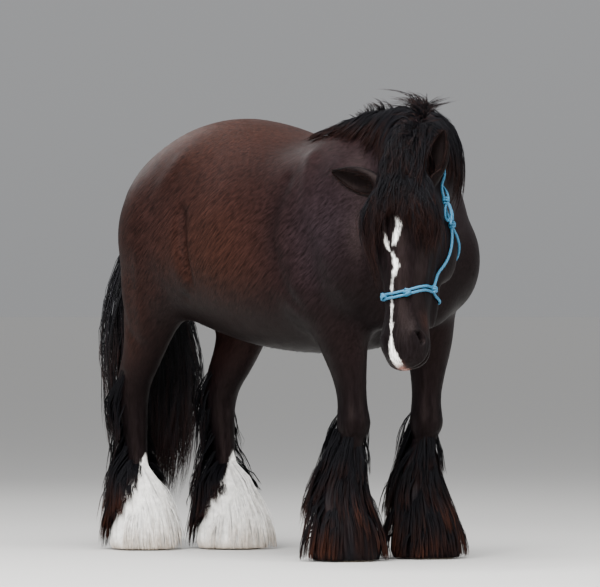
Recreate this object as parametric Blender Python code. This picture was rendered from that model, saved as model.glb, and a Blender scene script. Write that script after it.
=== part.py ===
# A heavily feathered cob standing still, with its head lowered and turned to its right.
# Metres, +Z up. The horse faces -Y, so its left side is +X. Places in the tables are written as
# (forward, left, up) from the floor under the middle of the body, and the finished model is then
# moved so that the middle of its footprint is the origin.

import math

import bmesh
import bpy
import numpy as np
from mathutils import Matrix, Vector
from mathutils.bvhtree import BVHTree
from mathutils.kdtree import KDTree

# Driving sizes
DICE = np.random.default_rng(7)
GAP = 0.0003                # what neighbouring pieces keep between them
FLESH_GRAIN = 0.007         # voxel of the flesh before it is thinned
HEAD_LENGTH = 0.665         # poll to lips
HEAD_YAW = math.radians(71)     # how far the face is turned to the right of the body
HEAD_TILT = math.radians(18)    # nose pushed forward of plumb
HEAD_ROLL = math.radians(10.5)    # muzzle swung to its own left
POLL = (1.00, -0.36, 1.295)
EYE_RADIUS = 0.024
SOCKET_GAP = 0.0018         # room for the socket's coarser facets
HOOF_HEIGHT = 0.085
ROPE_RADIUS = 0.0045
TOUCHING = 0.00002          # points nearer to each other than this count as touching
FINE_SKIN = 100000          # faces above which a mesh is the undivided skin, of plain quads

COLOURS = {
    "coat": (0.035, 0.014, 0.009),
    "dark": (0.010, 0.008, 0.009),
    "white": (0.72, 0.68, 0.62),
    "horn": (0.16, 0.13, 0.10),
    "eye": (0.012, 0.007, 0.005),
    "rope": (0.03, 0.28, 0.42),
}
ROUGHNESS = {"coat": 0.45, "dark": 0.5, "white": 0.6, "horn": 0.55, "eye": 0.08, "rope": 0.7}

# The trunk: (forward, left, up of the widest line, half width, above, below)
TRUNK = [
    (-0.790, 0, 1.07, 0.080, 0.080, 0.120),
    (-0.740, 0, 1.09, 0.165, 0.165, 0.220),
    (-0.640, 0, 1.10, 0.255, 0.275, 0.280),
    (-0.500, 0, 1.09, 0.312, 0.370, 0.255),
    (-0.340, 0, 1.07, 0.330, 0.425, 0.300),
    (-0.180, 0, 1.05, 0.330, 0.430, 0.325),
    (0.000, 0, 1.03, 0.345, 0.410, 0.335),
    (0.160, 0, 1.03, 0.335, 0.385, 0.345),
    (0.300, 0, 1.05, 0.310, 0.374, 0.360),
    (0.420, 0, 1.07, 0.290, 0.376, 0.365),
    (0.540, 0, 1.06, 0.270, 0.345, 0.325),
    (0.650, 0, 1.03, 0.220, 0.240, 0.240),
    (0.720, 0, 1.00, 0.130, 0.120, 0.140),
]
# The neck: the same columns, bending to the right
NECK = [
    (0.34, 0.000, 1.130, 0.150, 0.305, 0.300),
    (0.45, 0.000, 1.170, 0.155, 0.310, 0.300),
    (0.58, -0.005, 1.215, 0.150, 0.290, 0.280),
    (0.71, -0.040, 1.265, 0.134, 0.245, 0.235),
    (0.82, -0.110, 1.290, 0.116, 0.205, 0.195),
    (0.91, -0.190, 1.280, 0.102, 0.170, 0.165),
    (0.97, -0.265, 1.240, 0.090, 0.130, 0.150),
    (1.00, -0.310, 1.190, 0.070, 0.090, 0.120),
]
# The legs: (forward, out to the side, up, half width, ahead, behind), each standing as it does
LEGS = {
    "foreleg_left": [
        (0.430, 0.190, 0.960, 0.100, 0.150, 0.150),
        (0.440, 0.215, 0.840, 0.098, 0.125, 0.125),
        (0.450, 0.225, 0.720, 0.082, 0.090, 0.095),
        (0.455, 0.218, 0.620, 0.060, 0.066, 0.070),
        (0.457, 0.210, 0.530, 0.050, 0.055, 0.056),
        (0.460, 0.204, 0.450, 0.057, 0.060, 0.058),
        (0.456, 0.200, 0.385, 0.044, 0.046, 0.048),
        (0.452, 0.196, 0.300, 0.038, 0.040, 0.044),
        (0.452, 0.192, 0.205, 0.048, 0.048, 0.056),
        (0.474, 0.190, 0.140, 0.046, 0.040, 0.046),
        (0.492, 0.190, 0.085, 0.060, 0.054, 0.052),
        (0.500, 0.190, 0.050, 0.060, 0.054, 0.052),
    ],
    "foreleg_right": [
        (0.430, 0.180, 0.960, 0.100, 0.150, 0.150),
        (0.450, 0.170, 0.840, 0.098, 0.125, 0.125),
        (0.468, 0.152, 0.720, 0.082, 0.090, 0.095),
        (0.480, 0.138, 0.620, 0.060, 0.066, 0.070),
        (0.486, 0.131, 0.530, 0.050, 0.055, 0.056),
        (0.488, 0.130, 0.450, 0.057, 0.060, 0.058),
        (0.478, 0.132, 0.385, 0.044, 0.046, 0.048),
        (0.466, 0.136, 0.300, 0.038, 0.040, 0.044),
        (0.452, 0.144, 0.205, 0.048, 0.048, 0.056),
        (0.470, 0.148, 0.140, 0.046, 0.040, 0.046),
        (0.487, 0.150, 0.085, 0.060, 0.054, 0.052),
        (0.495, 0.150, 0.050, 0.060, 0.054, 0.052),
    ],
    "hindleg_left": [
        (-0.450, 0.170, 1.020, 0.115, 0.200, 0.230),
        (-0.460, 0.178, 0.900, 0.105, 0.165, 0.185),
        (-0.500, 0.166, 0.770, 0.080, 0.125, 0.112),
        (-0.543, 0.150, 0.660, 0.066, 0.105, 0.082),
        (-0.575, 0.140, 0.575, 0.057, 0.075, 0.084),
        (-0.585, 0.135, 0.500, 0.054, 0.056, 0.064),
        (-0.572, 0.132, 0.420, 0.045, 0.048, 0.054),
        (-0.555, 0.130, 0.320, 0.040, 0.042, 0.048),
        (-0.542, 0.130, 0.215, 0.050, 0.050, 0.058),
        (-0.518, 0.130, 0.145, 0.047, 0.042, 0.048),
        (-0.500, 0.130, 0.085, 0.060, 0.054, 0.054),
        (-0.493, 0.130, 0.050, 0.060, 0.054, 0.054),
    ],
    "hindleg_right": [
        (-0.470, 0.180, 1.020, 0.115, 0.200, 0.230),
        (-0.520, 0.190, 0.900, 0.105, 0.165, 0.185),
        (-0.580, 0.182, 0.770, 0.080, 0.108, 0.112),
        (-0.640, 0.168, 0.660, 0.066, 0.076, 0.082),
        (-0.690, 0.158, 0.575, 0.057, 0.058, 0.084),
        (-0.710, 0.153, 0.500, 0.054, 0.056, 0.064),
        (-0.702, 0.150, 0.420, 0.045, 0.048, 0.054),
        (-0.692, 0.150, 0.320, 0.040, 0.042, 0.048),
        (-0.684, 0.150, 0.215, 0.050, 0.050, 0.058),
        (-0.662, 0.150, 0.145, 0.047, 0.042, 0.048),
        (-0.647, 0.150, 0.085, 0.060, 0.054, 0.054),
        (-0.640, 0.150, 0.050, 0.060, 0.054, 0.054),
    ],
}
# The skull along the face: (distance from the poll, dorsal line, throat line, half width)
SKULL = [
    (-0.015, -0.050, -0.150, 0.050),
    (0.030, -0.005, -0.190, 0.080),
    (0.090, 0.022, -0.200, 0.098),
    (0.160, 0.034, -0.190, 0.108),
    (0.220, 0.034, -0.180, 0.106),
    (0.300, 0.024, -0.170, 0.090),
    (0.385, 0.012, -0.162, 0.075),
    (0.465, 0.004, -0.145, 0.067),
    (0.540, 0.002, -0.138, 0.073),
    (0.600, -0.004, -0.136, 0.077),
    (0.645, -0.028, -0.124, 0.064),
    (0.665, -0.055, -0.100, 0.038),
]


def place(forward, left, up):
    return Vector((left, -forward, up))


AHEAD = place(1, 0, 0)
LEFT = place(0, 1, 0)
UP = place(0, 0, 1)

FACE_LEVEL = place(math.cos(HEAD_YAW), -math.sin(HEAD_YAW), 0)
HEAD_OUT = (FACE_LEVEL * math.cos(HEAD_TILT) + UP * math.sin(HEAD_TILT)).normalized()
HEAD_ALONG = (FACE_LEVEL * math.sin(HEAD_TILT) - UP * math.cos(HEAD_TILT)).normalized()
HEAD_ALONG = Matrix.Rotation(HEAD_ROLL, 3, HEAD_OUT) @ HEAD_ALONG
HEAD_LEFT = HEAD_OUT.cross(HEAD_ALONG)


def on_head(along, left, out):
    return place(*POLL) + HEAD_ALONG * along + HEAD_LEFT * left + HEAD_OUT * out


def smooth_rows(rows, step):
    # A cubic through the rows, sampled about every step along the path of their first three columns.
    rows = np.array(rows, float)
    reach = np.concatenate([[0], np.cumsum(np.linalg.norm(np.diff(rows[:, :3], axis=0), axis=1))])
    slopes = np.gradient(rows, reach, axis=0)
    at = np.linspace(0, reach[-1], max(3, int(reach[-1] / step) + 1))
    i = np.clip(np.searchsorted(reach, at, side="right") - 1, 0, len(rows) - 2)
    span = (reach[i + 1] - reach[i])[:, None]
    t = ((at - reach[i])[:, None]) / span
    return (
        rows[i] * (2 * t**3 - 3 * t**2 + 1)
        + slopes[i] * span * (t**3 - 2 * t**2 + t)
        + rows[i + 1] * (3 * t**2 - 2 * t**3)
        + slopes[i + 1] * span * (t**3 - t**2)
    )


def mesh_object(name, points, faces):
    mesh = bpy.data.meshes.new(name)
    mesh.from_pydata([tuple(p) for p in points], [], faces)
    mesh.update()
    thing = bpy.data.objects.new(name, mesh)
    bpy.context.scene.collection.objects.link(thing)
    return thing


def facing_out(thing):
    form = bmesh.new()
    form.from_mesh(thing.data)
    bmesh.ops.recalc_face_normals(form, faces=form.faces)
    form.to_mesh(thing.data)
    form.free()
    return thing


def from_rings(name, rings):
    # A closed skin over rings of points, each end drawn to a point in its middle.
    rings = np.asarray(rings, float)
    count, around = rings.shape[:2]
    points = list(rings.reshape(-1, 3)) + [rings[0].mean(0), rings[-1].mean(0)]
    faces = []
    for i in range(count - 1):
        for j in range(around):
            k = (j + 1) % around
            faces.append((i * around + j, i * around + k, (i + 1) * around + k, (i + 1) * around + j))
    for j in range(around):
        k = (j + 1) % around
        faces.append((j, k, count * around))
        faces.append(((count - 1) * around + k, (count - 1) * around + j, count * around + 1))
    return facing_out(mesh_object(name, points, faces))


def ring(centre, side, rise, half_width, above, below, around, fullness=2.0):
    # A rounded section: an ellipse whose upper and lower halves have their own depth.
    turn = np.arange(around) * 2 * math.pi / around
    across = np.sign(np.cos(turn)) * np.abs(np.cos(turn)) ** (2 / fullness)
    over = np.sign(np.sin(turn)) * np.abs(np.sin(turn)) ** (2 / fullness)
    depth = np.where(over > 0, above, below)
    return (
        np.array(centre)
        + np.outer(across * half_width, np.array(side))
        + np.outer(over * depth, np.array(rise))
    )


def lofted(name, rows, hint, around=28, step=0.02, fullness=2.2):
    # A body part along a path: rows are (forward, left, up, half width, above, below).
    rows = smooth_rows(rows, step)
    centres = np.array([place(*row[:3]) for row in rows])
    along = np.gradient(centres, axis=0)
    rings = []
    for centre, way, row in zip(centres, along, rows):
        way = Vector(way).normalized()
        side = hint.cross(way).normalized()
        rise = way.cross(side)
        rings.append(ring(centre, side, rise, *row[3:6], around, fullness))
    return from_rings(name, rings)


def ball(name, centre, radii, axes=None, detail=3):
    # An ellipsoid; axes are the directions of its three radii.
    form = bmesh.new()
    bmesh.ops.create_icosphere(form, subdivisions=detail, radius=1)
    axes = axes or (AHEAD, LEFT, UP)
    turned = Matrix([a * r for a, r in zip(axes, radii)]).transposed().to_4x4()
    bmesh.ops.transform(form, matrix=Matrix.Translation(centre) @ turned, verts=form.verts)
    bmesh.ops.recalc_face_normals(form, faces=form.faces)
    mesh = bpy.data.meshes.new(name)
    form.to_mesh(mesh)
    form.free()
    thing = bpy.data.objects.new(name, mesh)
    bpy.context.scene.collection.objects.link(thing)
    return thing


def tilted(pitch=0.0, yaw=0.0):
    # Directions of an ellipsoid's radii once its front end is raised by pitch and turned left by yaw.
    turn = Matrix.Rotation(yaw, 3, UP) @ Matrix.Rotation(pitch, 3, -LEFT)
    return tuple(turn @ a for a in (AHEAD, LEFT, UP))


def skull():
    rings = []
    for row in smooth_rows([(s, d, t, w) for s, d, t, w in SKULL], 0.012):
        along, dorsal, throat, width = row
        middle = (dorsal * 0.42 + throat * 0.58)
        rings.append(
            ring(
                on_head(along, 0, middle), HEAD_LEFT, HEAD_OUT, width,
                dorsal - middle, middle - throat, 24, 2.3,
            )
        )
    return from_rings("skull", rings)


def head_ball(along, left, out, radii):
    return ball("lump", on_head(along, left, out), radii, (HEAD_ALONG, HEAD_LEFT, HEAD_OUT), 2)


def head_lumps():
    # Jowls, chin, lips, nostril rims, brows and the bone under each eye.
    lumps = [
        head_ball(0.612, 0, -0.124, (0.034, 0.042, 0.026)),
        head_ball(0.640, 0, -0.066, (0.030, 0.052, 0.036)),
    ]
    for side in (1, -1):
        lumps += [
            head_ball(0.215, side * 0.050, -0.185, (0.135, 0.046, 0.105)),
            head_ball(0.360, side * 0.036, -0.165, (0.160, 0.026, 0.040)),
            head_ball(0.500, side * 0.026, -0.118, (0.110, 0.028, 0.030)),
            head_ball(0.195, side * 0.086, -0.022, (0.044, 0.030, 0.036)),
            head_ball(0.175, side * 0.078, 0.004, (0.040, 0.026, 0.020)),
            head_ball(0.320, side * 0.070, -0.062, (0.075, 0.016, 0.016)),
            head_ball(0.572, side * 0.046, -0.040, (0.040, 0.026, 0.036)),
            head_ball(0.070, side * 0.062, -0.060, (0.045, 0.036, 0.045)),
        ]
    return lumps


def body_lumps():
    # Muscles of the haunch, stifle, shoulder, breast and forearm.
    lumps = []
    for side in (1, -1):
        def lump(forward, left, up, radii, **turn):
            lumps.append(ball("lump", place(forward, side * left, up), radii, tilted(**turn)))

        lump(-0.470, 0.165, 1.090, (0.230, 0.165, 0.260))
        lump(-0.655, 0.115, 1.020, (0.120, 0.110, 0.260), pitch=0.10)
        lump(-0.430, 0.190, 0.960, (0.150, 0.115, 0.180), pitch=-0.3)
        lump(0.450, 0.170, 1.090, (0.130, 0.110, 0.280), pitch=-0.35)
        lump(0.565, 0.175, 1.000, (0.155, 0.130, 0.190))
        lump(0.390, 0.205, 0.900, (0.150, 0.100, 0.140))
        lump(0.590, 0.095, 0.910, (0.125, 0.110, 0.150))
    lumps.append(ball("lump", place(0.455, 0.220, 0.770), (0.095, 0.085, 0.150)))
    lumps.append(ball("lump", place(0.480, -0.158, 0.770), (0.085, 0.075, 0.140)))
    lumps.append(ball("lump", place(0.555, 0.190, 1.000), (0.150, 0.130, 0.190)))
    lumps.append(ball("lump", place(0.610, 0, 1.040), (0.150, 0.170, 0.200)))
    lumps.append(ball("lump", place(-0.745, 0, 1.232), (0.070, 0.050, 0.056)))
    return lumps


def leg_rows(name):
    side = 1 if name.endswith("left") else -1
    return [(f, side * out, *rest) for f, out, *rest in LEGS[name]]


def joined(things):
    bpy.ops.object.select_all(action="DESELECT")
    for thing in things:
        thing.select_set(True)
    bpy.context.view_layer.objects.active = things[0]
    bpy.ops.object.join()
    return things[0]


def settled(thing):
    # The object with its modifiers applied.
    graph = bpy.context.evaluated_depsgraph_get()
    mesh = bpy.data.meshes.new_from_object(thing.evaluated_get(graph))
    old = thing.data
    thing.modifiers.clear()
    thing.data = mesh
    bpy.data.meshes.remove(old)
    return thing


def coordinates(thing):
    found = np.empty(len(thing.data.vertices) * 3)
    thing.data.vertices.foreach_get("co", found)
    return found.reshape(-1, 3)


def softness(points):
    # How much of the smoothing a point gets: all on the trunk, little on the head and lower legs.
    top = np.array(on_head(0.05, 0, -0.1))
    tip = np.array(on_head(HEAD_LENGTH, 0, -0.08))
    way = tip - top
    t = np.clip(((points - top) @ way) / (way @ way), 0, 1)
    from_head = np.linalg.norm(points - (top + t[:, None] * way), axis=1)
    head = np.clip((0.24 - from_head) / 0.06, 0, 1)
    leg = np.clip((0.75 - points[:, 2]) / 0.30, 0, 1)
    return np.clip(1 - 0.90 * head - 0.75 * leg, 0.08, 1)


def flesh():
    # The whole body without its hair, hooves, eyes and ears, as one fine skin.
    pieces = [
        lofted("trunk", TRUNK, UP, 40, 0.03, 2.2),
        lofted("neck", NECK, UP, 32, 0.02, 2.1),
        skull(),
    ]
    pieces += [lofted(name, leg_rows(name), AHEAD, 20, 0.015, 2.0) for name in LEGS]
    whole = joined(pieces + body_lumps() + head_lumps())
    remesh = whole.modifiers.new("one skin", "REMESH")
    remesh.mode = "VOXEL"
    remesh.voxel_size = FLESH_GRAIN
    settled(whole)
    weights = softness(coordinates(whole))
    group = whole.vertex_groups.new(name="soft")
    levels = np.round(weights * 20).astype(int)
    for level in np.unique(levels):
        group.add(np.flatnonzero(levels == level).tolist(), level / 20, "REPLACE")
    smooth = whole.modifiers.new("muscle", "SMOOTH")
    smooth.factor = 0.5
    smooth.iterations = 22
    smooth.vertex_group = "soft"
    settled(whole)
    whole.vertex_groups.clear()
    return whole


def disc(name, centre, normal, radius, thickness):
    form = bmesh.new()
    bmesh.ops.create_cone(
        form, cap_ends=True, segments=28, radius1=radius, radius2=radius, depth=thickness
    )
    turn = Vector(normal).to_track_quat("Z", "Y").to_matrix().to_4x4()
    bmesh.ops.transform(form, matrix=Matrix.Translation(centre) @ turn, verts=form.verts)
    mesh = bpy.data.meshes.new(name)
    form.to_mesh(mesh)
    form.free()
    thing = bpy.data.objects.new(name, mesh)
    bpy.context.scene.collection.objects.link(thing)
    return thing


def is_closed(thing):
    form = bmesh.new()
    form.from_mesh(thing.data)
    closed = all(edge.is_manifold for edge in form.edges) and all(v.is_manifold for v in form.verts)
    form.free()
    return closed


def triangles_of(thing):
    # Points and triangles; a diagonal that would double another edge gets a point in its middle.
    thing.data.calc_loop_triangles()
    points = [Vector(p) for p in coordinates(thing)]
    faces = [(tuple(tri.vertices), tri.polygon_index) for tri in thing.data.loop_triangles]
    while True:
        uses = {}
        for number, (corners, _) in enumerate(faces):
            for k in range(3):
                uses.setdefault(frozenset((corners[k], corners[k - 1])), []).append(number)
        doubled = [(edge, found) for edge, found in uses.items() if len(found) > 2]
        if not doubled:
            break
        split = set()
        for edge, found in doubled:
            owners = [faces[number][1] for number in found]
            twice = [owner for owner in owners if owners.count(owner) == 2]
            inner = [number for number in found if twice and faces[number][1] == twice[0]]
            if split & set(inner) or not inner:
                continue
            split |= set(inner)
            a, b = edge
            points.append((points[a] + points[b]) / 2)
            for number in inner:
                corners, owner = faces[number]
                first = tuple(len(points) - 1 if corner == a else corner for corner in corners)
                second = tuple(len(points) - 1 if corner == b else corner for corner in corners)
                faces[number] = (first, owner)
                faces.append((second, owner))
        if not split:
            break
    return np.array(points), np.array([corners for corners, _ in faces])


def replaced(thing, points, faces):
    # The object with a new mesh.
    old = thing.data
    thing.data = bpy.data.meshes.new(thing.name)
    thing.data.from_pydata(np.asarray(points).tolist(), [], np.asarray(faces).tolist())
    bpy.data.meshes.remove(old)
    return thing


def boolean(thing, others, operation):
    # Joins or cuts with a list of meshes, which are removed afterwards.
    held = bpy.data.collections.new("operands")
    bpy.context.scene.collection.children.link(held)
    for other in others:
        held.objects.link(other)
    before = thing.data.copy()
    solvers = ("MANIFOLD", "EXACT") if all(is_closed(part) for part in [thing, *others]) else ("EXACT",)
    for solver in solvers:
        thing.data = before.copy()
        step = thing.modifiers.new("boolean", "BOOLEAN")
        step.operation = operation
        step.operand_type = "COLLECTION"
        step.collection = held
        step.solver = solver
        step.use_self = solver != solvers[0]
        settled(thing)
        if is_closed(thing):
            break
    for other in others:
        bpy.data.objects.remove(other)
    bpy.data.collections.remove(held)
    return thing if len(thing.data.polygons) > FINE_SKIN else replaced(thing, *triangles_of(thing))


def islands(thing):
    # The loose closed surfaces of a mesh, each as lists of its points and faces.
    form = bmesh.new()
    form.from_mesh(thing.data)
    form.verts.ensure_lookup_table()
    seen = np.zeros(len(form.verts), bool)
    found = []
    for start in form.verts:
        if seen[start.index]:
            continue
        seen[start.index] = True
        stack, members = [start], []
        while stack:
            vert = stack.pop()
            members.append(vert)
            for edge in vert.link_edges:
                other = edge.other_vert(vert)
                if not seen[other.index]:
                    seen[other.index] = True
                    stack.append(other)
        renamed = {vert.index: n for n, vert in enumerate(members)}
        faces = {face for vert in members for face in vert.link_faces}
        faces = sorted(faces, key=lambda face: face.index)
        points = [vert.co.copy() for vert in members]
        found.append((points, [[renamed[v.index] for v in face.verts] for face in faces]))
    form.free()
    return found


def largest_only(thing):
    # Drops all but the island that reaches furthest.
    found = islands(thing)
    if len(found) > 1:
        sizes = [np.ptp(np.array(points), axis=0).sum() + len(points) * 1e-6 for points, _ in found]
        points, faces = found[int(np.argmax(sizes))]
        old = thing.data
        mesh = bpy.data.meshes.new(thing.name)
        mesh.from_pydata(points, [], faces)
        thing.data = mesh
        bpy.data.meshes.remove(old)
    return thing


def cleaned(thing, grain=0.00002):
    # Merges slivers that the cutting left, where the surface stays closed.
    form = bmesh.new()
    form.from_mesh(thing.data)
    bmesh.ops.triangulate(form, faces=form.faces)
    bmesh.ops.remove_doubles(form, verts=form.verts, dist=grain)
    bmesh.ops.dissolve_degenerate(form, edges=form.edges, dist=grain)
    bmesh.ops.triangulate(form, faces=form.faces)
    if all(edge.is_manifold for edge in form.edges):
        form.to_mesh(thing.data)
    form.free()
    return thing


def thinned(thing, triangles):
    # Fewer triangles; the wanted number grows a little until the surface stays closed.
    now = sum(len(face.vertices) - 2 for face in thing.data.polygons)
    fine = thing.data.copy()
    for more in (1.0, 1.04, 1.09, 1.15, 1.22, 1.3):
        step = thing.modifiers.new("thin", "DECIMATE")
        step.ratio = min(1.0, triangles * more / now)
        step.use_collapse_triangulate = True
        settled(thing)
        if is_closed(thing):
            break
        thing.data = fine.copy()
    return thing


def material(name):
    found = bpy.data.materials.get(name)
    if found:
        return found
    made = bpy.data.materials.new(name)
    made.use_nodes = True
    shader = made.node_tree.nodes["Principled BSDF"]
    shader.inputs["Base Color"].default_value = (*COLOURS[name], 1)
    shader.inputs["Roughness"].default_value = ROUGHNESS[name]
    shader.inputs["Metallic"].default_value = 0
    return made


def finished(thing, name, slot):
    thing.name = name
    thing.data.name = name
    thing.data.materials.clear()
    thing.data.materials.append(material(slot))
    thing.data.shade_smooth()
    thing.data.set_sharp_from_angle(angle=math.radians(50))
    return thing


def leg_at(name, up):
    # The middle of a leg at a height.
    rows = np.array(leg_rows(name))[::-1]
    return place(np.interp(up, rows[:, 2], rows[:, 0]), np.interp(up, rows[:, 2], rows[:, 1]), up)


def foot(name):
    # The middle of a hoof on the floor.
    last = leg_rows(name)[-1]
    return place(last[0], last[1], 0)


def poll_cut(gap):
    way = (-HEAD_OUT + UP * 0.75 + AHEAD * -0.2).normalized()
    return disc("at_poll", on_head(0.075, 0, -0.135), way, 0.24, gap)


def cuts(gap=GAP):
    # Where the body parts: discs as thick as the gap between two parts.
    made = [
        poll_cut(gap),
        disc("at_breast", place(0.655, -0.02, 1.240), place(0.84, -0.18, 0.42), 0.34, gap),
    ]
    for name in LEGS:
        fore = name.startswith("fore")
        top, low = (0.645, 0.395) if fore else (0.700, 0.455)
        made += [
            disc("at_body", leg_at(name, top), UP, 0.15, gap),
            disc("at_joint", leg_at(name, low), UP, 0.10, gap),
            disc("at_coronet", foot(name) + AHEAD * -0.006 + UP * HOOF_HEIGHT, CORONET_WAY, 0.085, gap),
        ]
    return made


CORONET_SLOPE = 0.35        # rise of the hoof's top edge towards the toe
CORONET_WAY = (UP - AHEAD * CORONET_SLOPE).normalized()


def body_parts(whole):
    # The flesh parted with thin cuts; each part is thinned by itself and trimmed to the cuts again.
    near = {
        "head": (on_head(0.35, 0, -0.08), 1300),
        "neck": (place(0.80, -0.09, 1.27), 480),
        "torso": (place(-0.10, 0, 1.05), 1120),
    }
    for name in LEGS:
        fore = name.startswith("fore")
        high, low = (0.52, 0.25) if fore else (0.58, 0.28)
        near[name] = (leg_at(name, high), 230)
        near[f"lower_{name}"] = (leg_at(name, low), 130)
    whole = boolean(whole, cuts(), "DIFFERENCE")
    pools = []
    for points, faces in islands(whole):
        centre = Vector(np.array(points).mean(0))
        pools.append((centre, points, faces))
    bpy.data.objects.remove(whole)
    parts = {}
    for name, (seed, triangles) in near.items():
        _, points, faces = min(pools, key=lambda pool: (pool[0] - seed).length)
        part = thinned(cleaned(mesh_object(name, points, faces), 0.0008), triangles)
        parts[name] = cleaned(largest_only(boolean(part, cuts(GAP * 1.6), "DIFFERENCE")))
    return parts


def hoof(leg):
    # Wall of horn from the sloping coronet to a flat sole.
    ground = foot(leg)
    rows = (
        # up, half width, ahead, behind, share of the coronet's slope
        (HOOF_HEIGHT - GAP * 2, 0.058, 0.056, 0.054, 1.0),
        (HOOF_HEIGHT * 0.5, 0.068, 0.070, 0.056, 0.5),
        (0.006, 0.077, 0.084, 0.058, 0.0),
        (0.0, 0.075, 0.082, 0.056, 0.0),
    )
    rings = []
    for up, width, ahead, behind, share in rows:
        rise = AHEAD + UP * CORONET_SLOPE * share
        centre = ground + UP * up - AHEAD * 0.006
        rings.append(ring(centre, LEFT, rise, width, ahead, behind, 16, 2.3))
    return from_rings("hoof", rings)


def tree_of(things):
    # One search tree over the faces of several meshes.
    points, faces = [], []
    for thing in things:
        start = len(points)
        points += [tuple(p) for p in coordinates(thing)]
        faces += [[start + i for i in face.vertices] for face in thing.data.polygons]
    return BVHTree.FromPolygons(points, faces)


def walk(tree, root, way, length, steps, clear, fall=0.35, far=1.0):
    # A lock's path: it leaves its root along way, is drawn down and stays between clear and far
    # from the flesh.
    path, outs = [Vector(root)], []
    way = Vector(way).normalized()
    for _ in range(steps):
        way = (way - UP * fall).normalized()
        here = path[-1] + way * (length / steps)
        near, normal, _, distance = tree.find_nearest(here)
        if (here - near).dot(normal) < clear:
            here = near + normal * clear
        elif distance > far:
            here = near + (here - near) * (far / distance)
        moved = here - path[-1]
        way = moved.normalized() if moved.length > 1e-5 else way
        path.append(here)
    for here in path:
        near, normal, _, distance = tree.find_nearest(here)
        outs.append((normal, (here - near).dot(normal)))
    return path, outs


def sheet(name, outer, inner):
    # A closed slab between two grids of points.
    rows, columns = len(outer), len(outer[0])
    points = [p for row in outer for p in row] + [p for row in inner for p in row]
    half = rows * columns

    def at(i, j, layer):
        return layer * half + i * columns + j

    faces = []
    for i in range(rows - 1):
        for j in range(columns - 1):
            quad = [(i, j), (i, j + 1), (i + 1, j + 1), (i + 1, j)]
            faces.append([at(*corner, 0) for corner in quad])
            faces.append([at(*corner, 1) for corner in reversed(quad)])
    rim = [(i, 0) for i in range(rows)] + [(rows - 1, j) for j in range(1, columns)]
    rim += [(i, columns - 1) for i in range(rows - 2, -1, -1)]
    rim += [(0, j) for j in range(columns - 2, 0, -1)]
    for here, there in zip(rim, rim[1:] + rim[:1]):
        faces.append([at(*here, 0), at(*here, 1), at(*there, 1), at(*there, 0)])
    return facing_out(mesh_object(name, points, faces))


def draped(name, paths, depth, sink=0.008):
    # A sheet of hair over the flesh along a row of paths; depth(t) is how far it stands off.
    outer, inner = [], []
    for path, outs in paths:
        last = len(path) - 1
        outer.append([p + out * depth(i / last) for i, (p, (out, _)) in enumerate(zip(path, outs))])
        inner.append([p - out * (min(gap, 0.02) + sink) for p, (out, gap) in zip(path, outs)])
    return sheet(name, outer, inner)


def crest_at(tree, share):
    # The top of the neck from the withers (0) to behind the ears (1), with its own directions.
    rows = smooth_rows(NECK, 0.005)
    i = min(len(rows) - 2, int(share * (len(rows) - 1)))
    centre = place(*rows[i][:3])
    way = (place(*rows[i + 1][:3]) - centre).normalized()
    side = UP.cross(way).normalized()
    rise = way.cross(side)
    hit = tree.ray_cast(centre + rise * 0.5, -rise)[0]
    return hit, way, side, rise


def lock(path, outs, width, thick, belly=0.35, taper=0.62):
    # A flat tapered lock of four sides along a path, ending in a point.
    count = len(path) - 1
    rings = []
    for i in range(count):
        t = i / count
        way = (path[i + 1] - path[max(0, i - 1)]).normalized()
        out = outs[i] if isinstance(outs, list) else outs
        side = way.cross(out).normalized()
        out = side.cross(way).normalized()
        full = 0.55 + 0.45 * math.sin(math.pi * min(1, t / belly) / 2) if t < belly else 1.0
        full *= 1 if t < belly else 1 - taper * ((t - belly) / (1 - belly)) ** 1.5
        here = path[i]
        rings.append([
            here + side * width * 0.5 * full, here + out * thick * 0.5 * full,
            here - side * width * 0.5 * full, here - out * thick * 0.5 * full,
        ])
    points = [p for section in rings for p in section] + [path[-1]]
    faces = [(3, 2, 1, 0)]
    for i in range(count - 1):
        for j in range(4):
            k = (j + 1) % 4
            faces.append((i * 4 + j, i * 4 + k, (i + 1) * 4 + k, (i + 1) * 4 + j))
    last = (count - 1) * 4
    faces += [(last + j, last + (j + 1) % 4, count * 4) for j in range(4)]
    return facing_out(mesh_object("lock", points, faces))


def fallen(tree, root, way, length, width, thick, steps=5, clear=0.006, fall=0.35, far=1.0):
    # A lock that leaves its root along way and falls over the flesh.
    path, outs = walk(tree, root, way, length, steps, clear, fall, far)
    outs = [out for out, _ in outs]
    path[0] = path[0] - outs[0] * 0.014
    return lock(path, outs, width, thick)


def mane_core(tree):
    # The thick root of the mane, half as long as its locks.
    paths = []
    for share in np.linspace(0.15, 0.97, 10):
        top, way, side, rise = crest_at(tree, share)
        full = mane_fullness(share)
        right = walk(tree, top, -side, 0.09 * full, 2, 0.003)
        left = walk(tree, top, side, 0.22 * full, 4, 0.003, 0.35, 0.02)
        paths.append((right[0][:0:-1] + left[0], right[1][:0:-1] + left[1]))
    return draped("mane", paths, lambda t: 0.006 + 0.034 * math.exp(-((t - 0.33) / 0.25) ** 2))


def mane_fullness(share):
    return min(1.0, 0.30 + 1.7 * (share - 0.12), 0.45 + 3.5 * (1 - share))


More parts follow.
